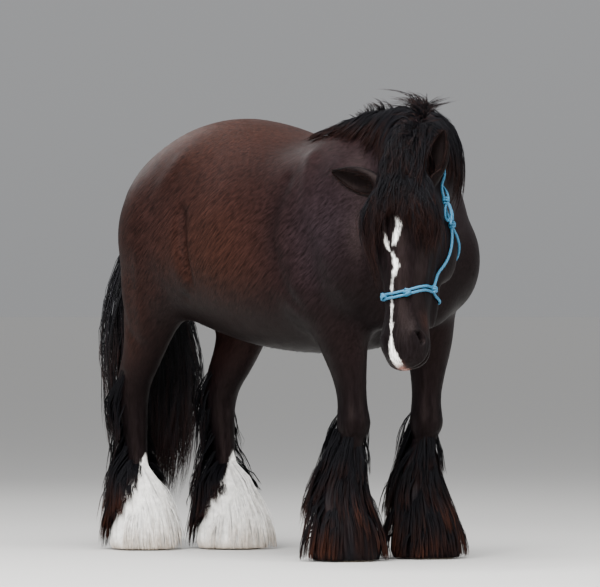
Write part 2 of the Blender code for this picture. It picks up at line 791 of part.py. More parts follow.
def mane(tree):
    # Long locks down the left of the neck, short ones on the right and a tuft along the crest.
    made = [mane_core(tree)]
    for share in np.linspace(0.17, 0.98, 9):
        top, way, side, rise = crest_at(tree, share)
        full = mane_fullness(share) * DICE.uniform(0.88, 1.1)
        root = top + side * 0.006 + rise * 0.026 * full
        lean = way * DICE.uniform(-0.15, 0.25)
        way = side + rise * 0.35 + lean
        made.append(fallen(tree, root, way, 0.47 * full, 0.104, 0.026, 5, 0.018, 0.5, 0.028))
    for share in np.linspace(0.20, 0.94, 7):
        top, way, side, rise = crest_at(tree, share)
        full = mane_fullness(share) * DICE.uniform(0.85, 1.15)
        root = top - side * 0.006 + rise * 0.026 * full
        lean = way * DICE.uniform(0.0, 0.4)
        way = rise * 0.35 + lean - side
        made.append(fallen(tree, root, way, 0.23 * full, 0.088, 0.024, 3, 0.017, 0.5, 0.03))
    for share in np.linspace(0.36, 0.96, 5):
        top, way, side, rise = crest_at(tree, share)
        full = mane_fullness(share)
        turn = DICE.uniform(-0.9, 1.1)
        path = [top + rise * 0.006]
        for step in range(3):
            bend = rise * (0.9 - 0.45 * step) + way * (0.2 + 0.4 * step) + side * turn * (0.1 + 0.35 * step)
            path.append(path[-1] + bend.normalized() * 0.019 * full)
        made.append(lock(path, side, 0.110, 0.034, 0.2))
    return largest_only(boolean(made[0], made[1:], "UNION"))


def forelock(tree):
    # Locks from between the ears that part over the forehead and hide the eyes.
    made = [head_ball(0.020, 0.0, -0.020, (0.050, 0.060, 0.040))]
    for layer, (reach, lift, number) in enumerate(((0.42, 0.000, 7), (0.33, 0.013, 6))):
        for across in np.linspace(-1, 1, number):
            root = on_head(0.010 + 0.012 * layer, across * 0.046, 0.3)
            root = tree.ray_cast(root, -HEAD_OUT)[0] + HEAD_OUT * (0.004 + lift)
            way = HEAD_ALONG + HEAD_LEFT * across * (0.50 - 0.1 * layer) + HEAD_OUT * 0.45
            length = reach * (1 - 0.22 * abs(across)) * DICE.uniform(0.92, 1.06)
            made.append(fallen(tree, root, way, length, 0.058, 0.020, 5, 0.015 + lift, 0.10, 0.035))
    return bundle(made, 800)


def feather_reach(leg, turn):
    # How far the hair's tips stand out from the hoof's middle; turn is 0 ahead and pi behind.
    front, back = (0.108, 0.165) if leg.startswith("fore") else (0.125, 0.172)
    return front + (back - front) * (0.5 - 0.5 * math.cos(turn)) ** 1.3


def feather_core(leg):
    rows = ((0.33, 0.046), (0.24, 0.060), (0.17, 0.074), (0.11, 0.086))
    rings = []
    for up, r in rows:
        centre = leg_at(leg, up)
        rings.append(ring(centre, LEFT, AHEAD, r, r * 0.85, r * 1.15, 8))
    return from_rings("feather", rings)


def feather(leg):
    # Locks that start below the knee or hock, flare over the hoof and end just above the floor.
    made = [feather_core(leg)]
    fore = leg.startswith("fore")
    ground = foot(leg)
    count = 11
    for n in range(count):
        turn = 2 * math.pi * (n + 0.5) / count
        out = (AHEAD * math.cos(turn) + LEFT * math.sin(turn)).normalized()
        behind = 0.5 - 0.5 * math.cos(turn)
        start = DICE.uniform(0.24, 0.29) + 0.07 * behind
        reach = feather_reach(leg, turn) * DICE.uniform(0.96, 1.04)
        tip_up = DICE.uniform(0.006, 0.016)
        path = []
        for t in (0, 0.3, 0.55, 0.75, 0.92, 1):
            up = start + (tip_up - start) * t
            near = leg_at(leg, up)
            base = near.lerp(ground, t**2)
            base.z = up
            r = 0.040 + (reach - 0.040) * (0.30 * t + 0.70 * t**2.2)
            path.append(base + out * r)
        made.append(lock(path, out, 2.6 * reach * math.pi / count, 0.030, 0.7, 0.25))
    back = 3 if fore else 4
    top = 0.355 if fore else 0.425
    for n in range(back):
        turn = math.pi + (n - (back - 1) / 2) * 0.55
        out = (AHEAD * math.cos(turn) + LEFT * math.sin(turn)).normalized()
        start = top - 0.05 * abs(n - (back - 1) / 2) / back
        length = DICE.uniform(0.19, 0.25)
        path = []
        for t in np.linspace(0, 1, 4):
            up = start - length * t
            path.append(leg_at(leg, up) + out * (0.042 + 0.062 * t**1.3))
        made.append(lock(path, out, 0.062, 0.026, 0.4))
    return bundle(made, 640)


def tail_line(up):
    # The tail's middle and its half width and depth at a height.
    rows = np.array([
        # up, forward, left, half width, half depth
        (0.080, -0.850, 0.050, 0.080, 0.030),
        (0.300, -0.852, 0.052, 0.190, 0.046),
        (0.550, -0.850, 0.042, 0.205, 0.056),
        (0.800, -0.846, 0.015, 0.175, 0.060),
        (1.000, -0.838, -0.008, 0.125, 0.056),
        (1.120, -0.822, -0.012, 0.085, 0.050),
        (1.200, -0.806, -0.006, 0.064, 0.046),
        (1.275, -0.768, 0.000, 0.046, 0.036),
    ])
    return [np.interp(up, rows[:, 0], rows[:, k]) for k in range(1, 5)]


def tail():
    # A dock of hair with long locks that spread as they fall.
    dock = [(-0.710, 0.000, 1.272, 0.036, 0.030, 0.030)]
    for up in (1.250, 1.14, 1.00, 0.84, 0.68):
        forward, left, width, depth = tail_line(up)
        dock.append((forward, left, up, width * 0.72, depth * 0.75, depth * 0.75))
    made = [lofted("tail", dock, AHEAD, 10, 0.11)]
    for number, start, reach in ((8, 1.245, 1.08), (8, 1.08, 0.98), (6, 0.84, 0.72)):
        for n in range(number):
            turn = 2 * math.pi * (n + DICE.uniform(0.35, 0.65)) / number
            drop = min(reach * DICE.uniform(0.86, 1.0) * (1 - 0.12 * abs(math.cos(turn))), start - 0.075)
            path = []
            for t in np.linspace(0, 1, 6):
                up = start - drop * t
                forward, left, width, depth = tail_line(up)
                reach_out = min(1.0, 0.45 + 1.6 * t)
                across = width * math.cos(turn) * reach_out
                sway = 0.026 * t * math.sin(5 * t + n * 2.1 + start * 7)
                path.append(place(forward + depth * math.sin(turn) * reach_out, left + across + sway, up))
            out = (AHEAD * math.sin(turn) + LEFT * math.cos(turn) * 0.35).normalized()
            made.append(lock(path, out, 0.074, 0.030, 0.4))
    return bundle(made, 1360)


def inflated(thing, by):
    # A copy grown outwards by a small distance.
    mesh = thing.data.copy()
    grown = bpy.data.objects.new("grown", mesh)
    bpy.context.scene.collection.objects.link(grown)
    normals = np.empty(len(mesh.vertices) * 3)
    mesh.vertices.foreach_get("normal", normals)
    points = coordinates(grown) + normals.reshape(-1, 3) * by
    mesh.vertices.foreach_set("co", points.ravel())
    mesh.update()
    return grown


def ear(side):
    # A cupped leaf: an outer cone with a scoop taken from its open face; and the cone, to cut hair.
    if side > 0:
        way = (HEAD_OUT * 0.05 - HEAD_ALONG * 1.0 + HEAD_LEFT * 0.38).normalized()
        opening = (HEAD_OUT * 0.85 + HEAD_LEFT * 0.5).normalized()
    else:
        way = (HEAD_OUT * 0.12 - HEAD_ALONG * 0.47 - HEAD_LEFT * 0.95).normalized()
        opening = (HEAD_OUT * 0.8 + HEAD_ALONG * 0.6).normalized()
    across = opening.cross(way).normalized()
    opening = way.cross(across)
    base = on_head(0.030, 0.084, -0.072) if side > 0 else on_head(0.026, -0.098, -0.075)
    reach = 0.93 if side > 0 else 1.08

    def leaf(name, rows, shift):
        rings = []
        for along, width, front, back in rows:
            lean = opening * (0.010 * (along / 0.19) ** 2 + shift)
            rings.append(ring(base + way * along * reach + lean, across, opening, width, front, back, 8))
        return from_rings(name, rings)

    outer = (
        (-0.030, 0.022, 0.020, 0.022), (0.000, 0.030, 0.026, 0.028), (0.040, 0.038, 0.026, 0.030),
        (0.080, 0.040, 0.022, 0.026), (0.120, 0.033, 0.016, 0.020), (0.155, 0.019, 0.009, 0.012),
        (0.178, 0.006, 0.003, 0.004),
    )
    scoop = (
        (0.012, 0.008, 0.010, 0.006), (0.035, 0.024, 0.040, 0.018), (0.080, 0.031, 0.040, 0.020),
        (0.120, 0.025, 0.040, 0.015), (0.150, 0.013, 0.030, 0.009), (0.168, 0.003, 0.020, 0.003),
    )
    whole = leaf("ear", outer, 0)
    shell = inflated(whole, 0.0012)
    return boolean(whole, [leaf("scoop", scoop, 0.006)], "DIFFERENCE"), shell


def eye_centre(side):
    return on_head(0.205, side * 0.083, -0.030)


def eye_cutter(side):
    # The almond between the lids.
    out = (HEAD_LEFT * side * 0.9 + HEAD_OUT * 0.42).normalized()
    wide = (HEAD_ALONG * 0.96 + HEAD_OUT * -0.25).normalized()
    wide = (wide - out * wide.dot(out)).normalized()
    high = out.cross(wide)
    return ball("almond", eye_centre(side) + out * 0.026, (0.020, 0.0115, 0.022), (wide, high, out), 2)


def nostril_cutter(side):
    out = (HEAD_LEFT * side * 0.8 + HEAD_OUT * 0.35 + HEAD_ALONG * 0.25).normalized()
    tall = (HEAD_ALONG * 0.8 - HEAD_OUT * 0.6).normalized()
    tall = (tall - out * tall.dot(out)).normalized()
    axes = (tall, out.cross(tall), out)
    return ball("pit", on_head(0.582, side * 0.071, -0.044), (0.017, 0.009, 0.020), axes, 2)


def mouth_cutter():
    # The thin gap between the lips, curving up to the corners.
    outer, inner = [], []
    for across in np.linspace(-0.10, 0.10, 9):
        over, under = [], []
        for along in np.linspace(0, 1, 5):
            reach = 0.585 + 0.11 * along
            lift = -0.093 + 0.016 * along - 1.2 * across**2
            over.append(on_head(reach, across, lift + 0.0009))
            under.append(on_head(reach, across, lift - 0.0009))
        outer.append(over)
        inner.append(under)
    return sheet("lips", outer, inner)


def detailed_head(head):
    # Lids around the eyes, nostrils and the mouth.
    made = head
    cutters = [mouth_cutter()]
    for side in (1, -1):
        cutters += [
            ball("socket", eye_centre(side), (EYE_RADIUS + SOCKET_GAP,) * 3, None, 2),
            eye_cutter(side),
            nostril_cutter(side),
        ]
    return boolean(made, cutters, "DIFFERENCE")


def tube(name, path, radius, around=4):
    # A closed round bar along a path, its sections carried without twisting.
    path = [Vector(p) for p in path]
    ways = [(b - a).normalized() for a, b in zip(path, path[1:])]
    ways = [ways[0]] + [(a + b).normalized() for a, b in zip(ways, ways[1:])] + [ways[-1]]
    side = ways[0].orthogonal().normalized()
    rings = []
    for here, way in zip(path, ways):
        side = (side - way * side.dot(way)).normalized()
        rings.append(ring(here, side, way.cross(side), radius, radius, radius, around, 2))
    return from_rings(name, rings)


def rope(tree, marks, step=0.045):
    # A rope lying on the head through marks given as (along, left, out).
    marks = [on_head(*mark) for mark in marks]
    rows = [(*mark, 0) for mark in marks]
    path = []
    for row in smooth_rows(rows, step):
        near, normal, _, _ = tree.find_nearest(Vector(row[:3]))
        path.append(near + normal * (ROPE_RADIUS + 0.0018))
    return tube("rope", path, ROPE_RADIUS)


# The halter's ropes by their marks on the left side of the head; the right side mirrors them.
NOSEBAND = ((0.400, 0.080, -0.110), (0.410, 0.080, -0.060), (0.436, 0.050, 0.000), (0.445, 0.0, 0.02))
CHEEK = (
    (0.400, 0.080, -0.110), (0.340, 0.086, -0.140), (0.250, 0.100, -0.180), (0.150, 0.110, -0.190),
    (0.070, 0.110, -0.165), (0.020, 0.100, -0.135), (-0.020, 0.070, -0.075), (-0.035, 0.0, -0.045),
)
CHIN = ((0.400, 0.080, -0.110), (0.410, 0.062, -0.155), (0.415, 0.030, -0.185), (0.415, 0.0, -0.190))
THROAT = ((0.150, 0.110, -0.190), (0.200, 0.095, -0.265), (0.245, 0.050, -0.300), (0.255, 0.0, -0.300))
UNDER_JAW = ((0.415, 0.0, -0.190), (0.340, 0.0, -0.230), (0.255, 0.0, -0.300))
KNOTS = ((0.400, 0.080, -0.110), (0.438, 0.044, 0.002), (0.150, 0.110, -0.190), (0.075, 0.110, -0.168))


def mirrored(marks):
    return [(along, -left, out) for along, left, out in marks]


def halter(tree):
    pieces = []
    for gap in (-0.0065, 0.0065):
        band = [(s + gap, l, n) for s, l, n in NOSEBAND]
        pieces.append(rope(tree, band + mirrored(band)[-2::-1]))
    for marks in (CHEEK, CHIN, THROAT):
        pieces.append(rope(tree, list(marks) + mirrored(marks)[-2::-1]))
    pieces.append(rope(tree, UNDER_JAW))
    for mark in (*KNOTS, *mirrored(KNOTS), CHIN[-1], THROAT[-1]):
        near, normal, _, _ = tree.find_nearest(on_head(*mark))
        across = normal.cross(HEAD_ALONG).normalized()
        axes = (normal, across, normal.cross(across))
        pieces.append(ball("knot", near + normal * 0.0095, (0.008, 0.0095, 0.013), axes, 1))
    return pared(boolean(pieces[0], pieces[1:], "UNION"), 1150)


def clear(made, clear_of, clearance=0.0025):
    # A solid cut back from its neighbours, each as a grown copy and as one that hardly grows, for
    # the creases where growing pulls a surface inwards.
    cutters = [inflated(other, by) for other in clear_of for by in (clearance, 0)]
    return boolean(made, cutters, "DIFFERENCE")


def edge_costs(points, faces):
    # For each edge, what collapsing it would cost and to which spot, from the planes around it.
    a, b, c = (points[faces[:, k]] for k in range(3))
    normals = np.cross(b - a, c - a)
    areas = np.linalg.norm(normals, axis=1) + 1e-15
    normals /= areas[:, None]
    planes = np.concatenate([normals, -np.sum(normals * a, axis=1)[:, None]], axis=1)
    shares = planes[:, :, None] * planes[:, None, :] * areas[:, None, None]
    quadrics = np.zeros((len(points), 4, 4))
    for k in range(3):
        np.add.at(quadrics, faces[:, k], shares)
    pairs = np.sort(np.concatenate([faces[:, [0, 1]], faces[:, [1, 2]], faces[:, [2, 0]]]), axis=1)
    pairs = np.unique(pairs, axis=0)
    ends = points[pairs]
    spots = np.stack([ends[:, 0], ends[:, 1], ends.mean(1)], axis=1)
    full = np.concatenate([spots, np.ones((*spots.shape[:2], 1))], axis=2)
    both = quadrics[pairs[:, 0]] + quadrics[pairs[:, 1]]
    costs = np.einsum("eki,eij,ekj->ek", full, both, full)
    best = costs.argmin(1)
    rows = np.arange(len(pairs))
    length = np.linalg.norm(ends[:, 0] - ends[:, 1], axis=1)
    return pairs, costs[rows, best] + 1e-7 * length**3, spots[rows, best], normals


def collapsed(points, faces, triangles):
    # One round of collapses that don't touch each other, cheapest first.
    pairs, costs, spots, normals = edge_costs(points, faces)
    around = [set() for _ in points]
    near = [set() for _ in points]
    for number, corners in enumerate(faces.tolist()):
        for corner in corners:
            around[corner].add(number)
            near[corner].update(corners)
    locked, merged = set(), {}
    for e in np.argsort(costs):
        a, b = pairs[e].tolist()
        if a in locked or b in locked or len(near[a] & near[b]) != 4:
            continue
        left = list(around[a] ^ around[b])
        corners = points[faces[left]]
        corners[(faces[left] == a) | (faces[left] == b)] = spots[e]
        turned = np.cross(corners[:, 1] - corners[:, 0], corners[:, 2] - corners[:, 0])
        size = np.linalg.norm(turned, axis=1)
        if (np.sum(turned * normals[left], axis=1) < 0.35 * size).any() or (size < 1e-8).any():
            continue
        points[a] = spots[e]
        merged[b] = a
        locked |= near[a] | near[b]
        if len(faces) - 2 * len(merged) <= triangles:
            break
    into = np.arange(len(points))
    into[list(merged)] = list(merged.values())
    faces = into[faces]
    sound = (faces[:, 0] != faces[:, 1]) & (faces[:, 1] != faces[:, 2]) & (faces[:, 2] != faces[:, 0])
    return faces[sound]


def pared(thing, triangles):
    # Collapses edges where the surface stays closed and no face turns over.
    points, faces = triangles_of(thing)
    while len(faces) > triangles:
        left = collapsed(points, faces, triangles)
        if len(left) == len(faces):
            break
        faces = left
    used, flat = np.unique(faces, return_inverse=True)
    return replaced(thing, points[used], flat.reshape(-1, 3))


def bundle(locks, triangles):
    # Locks joined to one closed surface, with the slivers of their crossings pared away.
    return pared(largest_only(boolean(locks[0], locks[1:], "UNION")), triangles)


def eased(thing):
    # Points that touch another point of the same surface are drawn inwards a little.
    points = coordinates(thing)
    normals = np.empty(len(points) * 3)
    thing.data.vertices.foreach_get("normal", normals)
    normals = normals.reshape(-1, 3)
    places = KDTree(len(points))
    for number, point in enumerate(points):
        places.insert(point, number)
    places.balance()
    for number, point in enumerate(points):
        if len(places.find_range(point, TOUCHING)) > 1:
            points[number] = point - normals[number] * TOUCHING * 8
    thing.data.vertices.foreach_set("co", points.ravel())
    thing.data.update()
    return thing


def fused(core, hair, clear_of):
    # Hair joined to the part it grows from, as one closed surface.
    return largest_only(boolean(core, [clear(hair, clear_of)], "UNION"))


def report(parts):
    # One line for each piece, with its triangles, as the build's log.
    total = 0
    for name, thing in parts.items():
        count = sum(len(face.vertices) - 2 for face in thing.data.polygons)
        total += count
        print(f"{name}: {count} triangles, closed {is_closed(thing)}, pieces {len(islands(thing))}")
    print("all:", total)


SLOTS = {
    "torso": "coat", "neck": "coat", "head": "coat", "ear": "coat", "foreleg": "coat",
    "hindleg": "coat", "lower_foreleg": "dark", "lower_hindleg": "white", "tail": "dark",
    "hoof": "horn", "eye": "eye", "halter": "rope",
}


def slot_of(name):
    # The longest key that the node's name starts with.
    return SLOTS[max((key for key in SLOTS if name.startswith(key)), key=len)]


def centred(things):
    # Moves everything so that the middle of the footprint is the origin.
    points = np.concatenate([coordinates(thing) for thing in things])
    low, high = points.min(0), points.max(0)
    shift = -Vector(((low[0] + high[0]) / 2, (low[1] + high[1]) / 2, low[2]))
    for thing in things:
        thing.data.transform(Matrix.Translation(shift))
        thing.data.update()
    return shift


def main():
    for thing in list(bpy.data.objects):
        bpy.data.objects.remove(thing)
    whole = flesh()
    tree = tree_of([whole])
    neck_hair, head_hair = mane(tree), forelock(tree)
    parts = body_parts(whole)
    parts["head"] = detailed_head(parts["head"])
    for side, word in ((1, "left"), (-1, "right")):
        parts[f"eye_{word}"] = ball("eye", eye_centre(side), (EYE_RADIUS,) * 3, None, 2)
    skin = [parts["head"], parts["neck"]]
    parts["halter"] = cleaned(largest_only(clear(halter(tree_of(skin)), skin, 0.0012)))
    worn = [parts["halter"], poll_cut(GAP * 10)]
    for side, word in ((1, "left"), (-1, "right")):
        made, shell = ear(side)
        made = clear(made, [*skin, parts["halter"]], 0.0010)
        parts[f"ear_{word}"] = cleaned(largest_only(made))
        worn.append(shell)
    parts["head"] = fused(parts["head"], head_hair, [parts["neck"], *worn])
    parts["neck"] = fused(parts["neck"], neck_hair, [parts["torso"], parts["head"], *worn])
    for shell in worn[1:]:
        bpy.data.objects.remove(shell)
    for leg in LEGS:
        parts[f"hoof_{leg}"] = hoof(leg)
        near = [parts[leg], parts[f"hoof_{leg}"]]
        parts[f"lower_{leg}"] = fused(parts[f"lower_{leg}"], feather(leg), near)
    near = [parts[name] for name in ("torso", "hindleg_right", "hindleg_left")]
    near += [parts[name] for name in ("lower_hindleg_right", "lower_hindleg_left")]
    parts["tail"] = cleaned(largest_only(clear(tail(), near)))
    for name, thing in parts.items():
        finished(eased(thing), name, slot_of(name))
    shift = centred(list(parts.values()))
    report(parts)
    print("moved by", [round(v, 4) for v in shift])
    for leg in LEGS:
        print(leg, "sole at", [round(v, 4) for v in foot(leg) + shift])


main()
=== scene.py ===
import math
import time

import bmesh
import bpy
import numpy as np
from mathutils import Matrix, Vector
from mathutils.bvhtree import BVHTree


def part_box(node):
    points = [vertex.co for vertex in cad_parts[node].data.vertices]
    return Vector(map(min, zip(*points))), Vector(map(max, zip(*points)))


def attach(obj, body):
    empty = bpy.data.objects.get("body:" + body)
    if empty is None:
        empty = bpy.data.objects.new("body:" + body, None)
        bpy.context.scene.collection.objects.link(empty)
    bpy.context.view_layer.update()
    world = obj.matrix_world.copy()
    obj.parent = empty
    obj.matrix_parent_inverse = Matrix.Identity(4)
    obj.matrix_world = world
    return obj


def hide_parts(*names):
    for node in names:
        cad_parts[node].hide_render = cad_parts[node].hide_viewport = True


# Looks of a standing feathered cob. Places in the tables are (forward, left, up) in metres from the
# floor under the middle of the body, as in the CAD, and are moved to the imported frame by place.
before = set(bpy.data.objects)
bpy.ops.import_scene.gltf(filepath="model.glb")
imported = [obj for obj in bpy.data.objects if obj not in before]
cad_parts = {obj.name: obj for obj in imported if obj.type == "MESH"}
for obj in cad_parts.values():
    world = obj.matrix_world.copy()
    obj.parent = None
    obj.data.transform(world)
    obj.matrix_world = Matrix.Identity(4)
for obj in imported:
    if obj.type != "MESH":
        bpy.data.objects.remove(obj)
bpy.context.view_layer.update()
started = time.time()
dice = np.random.default_rng(11)


def stageDone(word):
    print(f"{word}: {time.time() - started:.1f} s")


hoofLow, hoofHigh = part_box("hoof_foreleg_right")
hoofPlace = {"middle": -0.150, "toe": -0.573}
moved = np.array([
    (hoofLow[0] + hoofHigh[0]) / 2 - hoofPlace["middle"],
    hoofLow[1] - hoofPlace["toe"],
    0.0,
])


def place(rows):
    # (forward, left, up) to the frame, where forward is -Y and left is +X.
    rows = np.asarray(rows, float)
    return np.stack([rows[..., 1], -rows[..., 0], rows[..., 2]], axis=-1) + moved


def unplaced(points):
    # Back from the frame to (forward, left, up).
    free = points - moved
    return np.stack([-free[..., 1], free[..., 0], free[..., 2]], axis=-1)


def unit(rows):
    rows = np.asarray(rows, float)
    return rows / np.maximum(np.linalg.norm(rows, axis=-1, keepdims=True), 1e-9)


def dots(a, b):
    return np.sum(a * b, axis=-1, keepdims=True)


def smoothStep(values, low, high):
    t = np.clip((values - low) / (high - low), 0, 1)
    return t * t * (3 - 2 * t)


def lerp(a, b, t):
    return a * (1 - t) + b * t


def turnedAbout(vector, axis, angle):
    # Rodrigues: the vector turned about an axis by an angle.
    return (
        vector * math.cos(angle)
        + np.cross(axis, vector) * math.sin(angle)
        + axis * np.dot(axis, vector) * (1 - math.cos(angle))
    )


def folded(rows):
    # Both sides of the body or the head as one: the left share without its sign.
    return rows * (1, 0, 1) + np.abs(rows) * (0, 1, 0)


ahead, leftward, upward = np.array([0, -1, 0.0]), np.array([1, 0, 0.0]), np.array([0, 0, 1.0])

headSet = {
    "yaw": math.radians(71), "tilt": math.radians(18), "roll": math.radians(10.5),
    "poll": (1.00, -0.36, 1.295), "length": 0.665, "eye": (0.205, 0.083, -0.030), "eyeRadius": 0.024,
}
faceLevel = ahead * math.cos(headSet["yaw"]) - leftward * math.sin(headSet["yaw"])
headOut = unit(faceLevel * math.cos(headSet["tilt"]) + upward * math.sin(headSet["tilt"]))
headAlong = unit(faceLevel * math.sin(headSet["tilt"]) - upward * math.cos(headSet["tilt"]))
headAlong = turnedAbout(headAlong, headOut, headSet["roll"])
headLeft = np.cross(headOut, headAlong)
pollPlace = place(headSet["poll"])


def onHead(rows):
    rows = np.asarray(rows, float)
    return pollPlace + rows[..., :1] * headAlong + rows[..., 1:2] * headLeft + rows[..., 2:3] * headOut


def headPlaces(points):
    # (along the face, left, out of the forehead) of points in the frame.
    free = points - pollPlace
    return np.stack([free @ headAlong, free @ headLeft, free @ headOut], axis=-1)


# Tables of the flesh, as the CAD has them
trunkRows = [
    (-0.790, 0, 1.07, 0.080, 0.080, 0.120), (-0.740, 0, 1.09, 0.165, 0.165, 0.220),
    (-0.640, 0, 1.10, 0.255, 0.275, 0.280), (-0.500, 0, 1.09, 0.312, 0.370, 0.255),
    (-0.340, 0, 1.07, 0.330, 0.425, 0.300), (-0.180, 0, 1.05, 0.330, 0.430, 0.325),
    (0.000, 0, 1.03, 0.345, 0.410, 0.335), (0.160, 0, 1.03, 0.335, 0.385, 0.345),
    (0.300, 0, 1.05, 0.310, 0.374, 0.360), (0.420, 0, 1.07, 0.290, 0.376, 0.365),
    (0.540, 0, 1.06, 0.270, 0.345, 0.325), (0.650, 0, 1.03, 0.220, 0.240, 0.240),
    (0.720, 0, 1.00, 0.130, 0.120, 0.140),
]
neckRows = [
    (0.34, 0.000, 1.130, 0.150, 0.305, 0.300), (0.45, 0.000, 1.170, 0.155, 0.310, 0.300),
    (0.58, -0.005, 1.215, 0.150, 0.290, 0.280), (0.71, -0.040, 1.265, 0.134, 0.245, 0.235),
    (0.82, -0.110, 1.290, 0.116, 0.205, 0.195), (0.91, -0.190, 1.280, 0.102, 0.170, 0.165),
    (0.97, -0.265, 1.240, 0.090, 0.130, 0.150), (1.00, -0.310, 1.190, 0.070, 0.090, 0.120),
]
# Sections of a leg from the top down: up, half width, front and back
foreForm = [
    (0.960, 0.100, 0.150, 0.150), (0.840, 0.098, 0.125, 0.125), (0.720, 0.082, 0.090, 0.095),
    (0.620, 0.060, 0.066, 0.070), (0.530, 0.050, 0.055, 0.056), (0.450, 0.057, 0.060, 0.058),
    (0.385, 0.044, 0.046, 0.048), (0.300, 0.038, 0.040, 0.044), (0.205, 0.048, 0.048, 0.056),
    (0.140, 0.046, 0.040, 0.046), (0.085, 0.060, 0.054, 0.052), (0.050, 0.060, 0.054, 0.052),
]
hindForm = [
    (1.020, 0.115, 0.200, 0.230), (0.900, 0.105, 0.165, 0.185), (0.770, 0.080, 0.108, 0.112),
    (0.660, 0.066, 0.076, 0.082), (0.575, 0.057, 0.058, 0.084), (0.500, 0.054, 0.056, 0.064),
    (0.420, 0.045, 0.048, 0.054), (0.320, 0.040, 0.042, 0.048), (0.215, 0.050, 0.050, 0.058),
    (0.145, 0.047, 0.042, 0.048), (0.085, 0.060, 0.054, 0.054), (0.050, 0.060, 0.054, 0.054),
]
# Where each section's middle stands: forward and left
legPaths = {
    "foreleg_left": [
        (0.430, 0.190), (0.440, 0.215), (0.450, 0.225), (0.455, 0.218), (0.457, 0.210), (0.460, 0.204),
        (0.456, 0.200), (0.452, 0.196), (0.452, 0.192), (0.474, 0.190), (0.492, 0.190), (0.500, 0.190),
    ],
    "foreleg_right": [
        (0.430, -0.180), (0.450, -0.170), (0.468, -0.152), (0.480, -0.138), (0.486, -0.131), (0.488, -0.130),
        (0.478, -0.132), (0.466, -0.136), (0.452, -0.144), (0.470, -0.148), (0.487, -0.150), (0.495, -0.150),
    ],
    "hindleg_left": [
        (-0.450, 0.170), (-0.460, 0.178), (-0.500, 0.166), (-0.543, 0.150), (-0.575, 0.140), (-0.585, 0.135),
        (-0.572, 0.132), (-0.555, 0.130), (-0.542, 0.130), (-0.518, 0.130), (-0.500, 0.130), (-0.493, 0.130),
    ],
    "hindleg_right": [
        (-0.470, -0.180), (-0.520, -0.190), (-0.580, -0.182), (-0.640, -0.168), (-0.690, -0.158),
        (-0.710, -0.153), (-0.702, -0.150), (-0.692, -0.150), (-0.684, -0.150), (-0.662, -0.150),
        (-0.647, -0.150), (-0.640, -0.150),
    ],
}
stifleFronts = {2: 0.125, 3: 0.105, 4: 0.075}    # the left hind thigh, deeper in front by row


def legTable(name):
    # (forward, left, up, half width, front, back) from the top of a leg down.
    rows = []
    form = foreForm if name.startswith("fore") else hindForm
    for n, (spot, section) in enumerate(zip(legPaths[name], form)):
        up, wide, front, back = section
        front = stifleFronts.get(n, front) if name == "hindleg_left" else front
        rows.append((*spot, up, wide, front, back))
    return rows


legRows = {name: legTable(name) for name in legPaths}
skullRows = [
    (-0.015, -0.050, -0.150, 0.050), (0.030, -0.005, -0.190, 0.080), (0.090, 0.022, -0.200, 0.098),
    (0.160, 0.034, -0.190, 0.108), (0.220, 0.034, -0.180, 0.106), (0.300, 0.024, -0.170, 0.090),
    (0.385, 0.012, -0.162, 0.075), (0.465, 0.004, -0.145, 0.067), (0.540, 0.002, -0.138, 0.073),
    (0.600, -0.004, -0.136, 0.077), (0.645, -0.028, -0.124, 0.064), (0.665, -0.055, -0.100, 0.038),
]


def smoothRows(rows, step):
    # A cubic through the rows, about one sample for each step of path.
    rows = np.array(rows, float)
    reach = np.concatenate([[0], np.cumsum(np.linalg.norm(np.diff(rows[:, :3], axis=0), axis=1))])
    slopes = np.gradient(rows, reach, axis=0)
    at = np.linspace(0, reach[-1], max(3, int(reach[-1] / step) + 1))
    i = np.clip(np.searchsorted(reach, at, side="right") - 1, 0, len(rows) - 2)
    span = (reach[i + 1] - reach[i])[:, None]
    t = (at - reach[i])[:, None] / span
    return (
        rows[i] * (2 * t**3 - 3 * t**2 + 1) + slopes[i] * span * (t**3 - 2 * t**2 + t)
        + rows[i + 1] * (3 * t**2 - 2 * t**3) + slopes[i + 1] * span * (t**3 - t**2)
    )


def ringGrid(centres, sides, rises, widths, aboves, belows, around, fullness):
    # Rounded sections: ellipses whose upper and lower halves have their own depth.
    turn = np.arange(around) * 2 * math.pi / around
    across = np.sign(np.cos(turn)) * np.abs(np.cos(turn)) ** (2 / fullness)
    over = np.sign(np.sin(turn)) * np.abs(np.sin(turn)) ** (2 / fullness)
    depth = np.where(over > 0, np.asarray(aboves)[:, None], np.asarray(belows)[:, None])
    return (
        centres[:, None] + sides[:, None] * (across * np.asarray(widths)[:, None])[..., None]
        + rises[:, None] * (over * depth)[..., None]
    )


def loftGrid(rows, hint, around, step, fullness):
    # Sections square to a smooth path through the rows, which keep to the hint's side.
    rows = smoothRows(rows, step)
    centres = place(rows[:, :3])
    ways = unit(np.gradient(centres, axis=0))
    sides = unit(np.cross(np.broadcast_to(hint, ways.shape), ways))
    rises = np.cross(ways, sides)
    return ringGrid(centres, sides, rises, rows[:, 3], rows[:, 4], rows[:, 5], around, fullness)


def tubeShape(rings):
    # Points and faces of a closed tube over a grid of rings.
    count, around = rings.shape[:2]
    points = np.concatenate([rings.reshape(-1, 3), rings[:1].mean(1), rings[-1:].mean(1)])
    i, j = np.meshgrid(np.arange(count - 1), np.arange(around), indexing="ij")
    k = (j + 1) % around
    quads = np.stack([i * around + j, i * around + k, (i + 1) * around + k, (i + 1) * around + j], -1)
    j = np.arange(around)
    k = (j + 1) % around
    low = np.stack([k, j, np.full(around, count * around)], -1)
    high = np.stack([j, k], -1) + (count - 1) * around
    high = np.concatenate([high, np.full((around, 1), count * around + 1)], axis=1)
    return points, quads.reshape(-1, 4), np.concatenate([low, high])


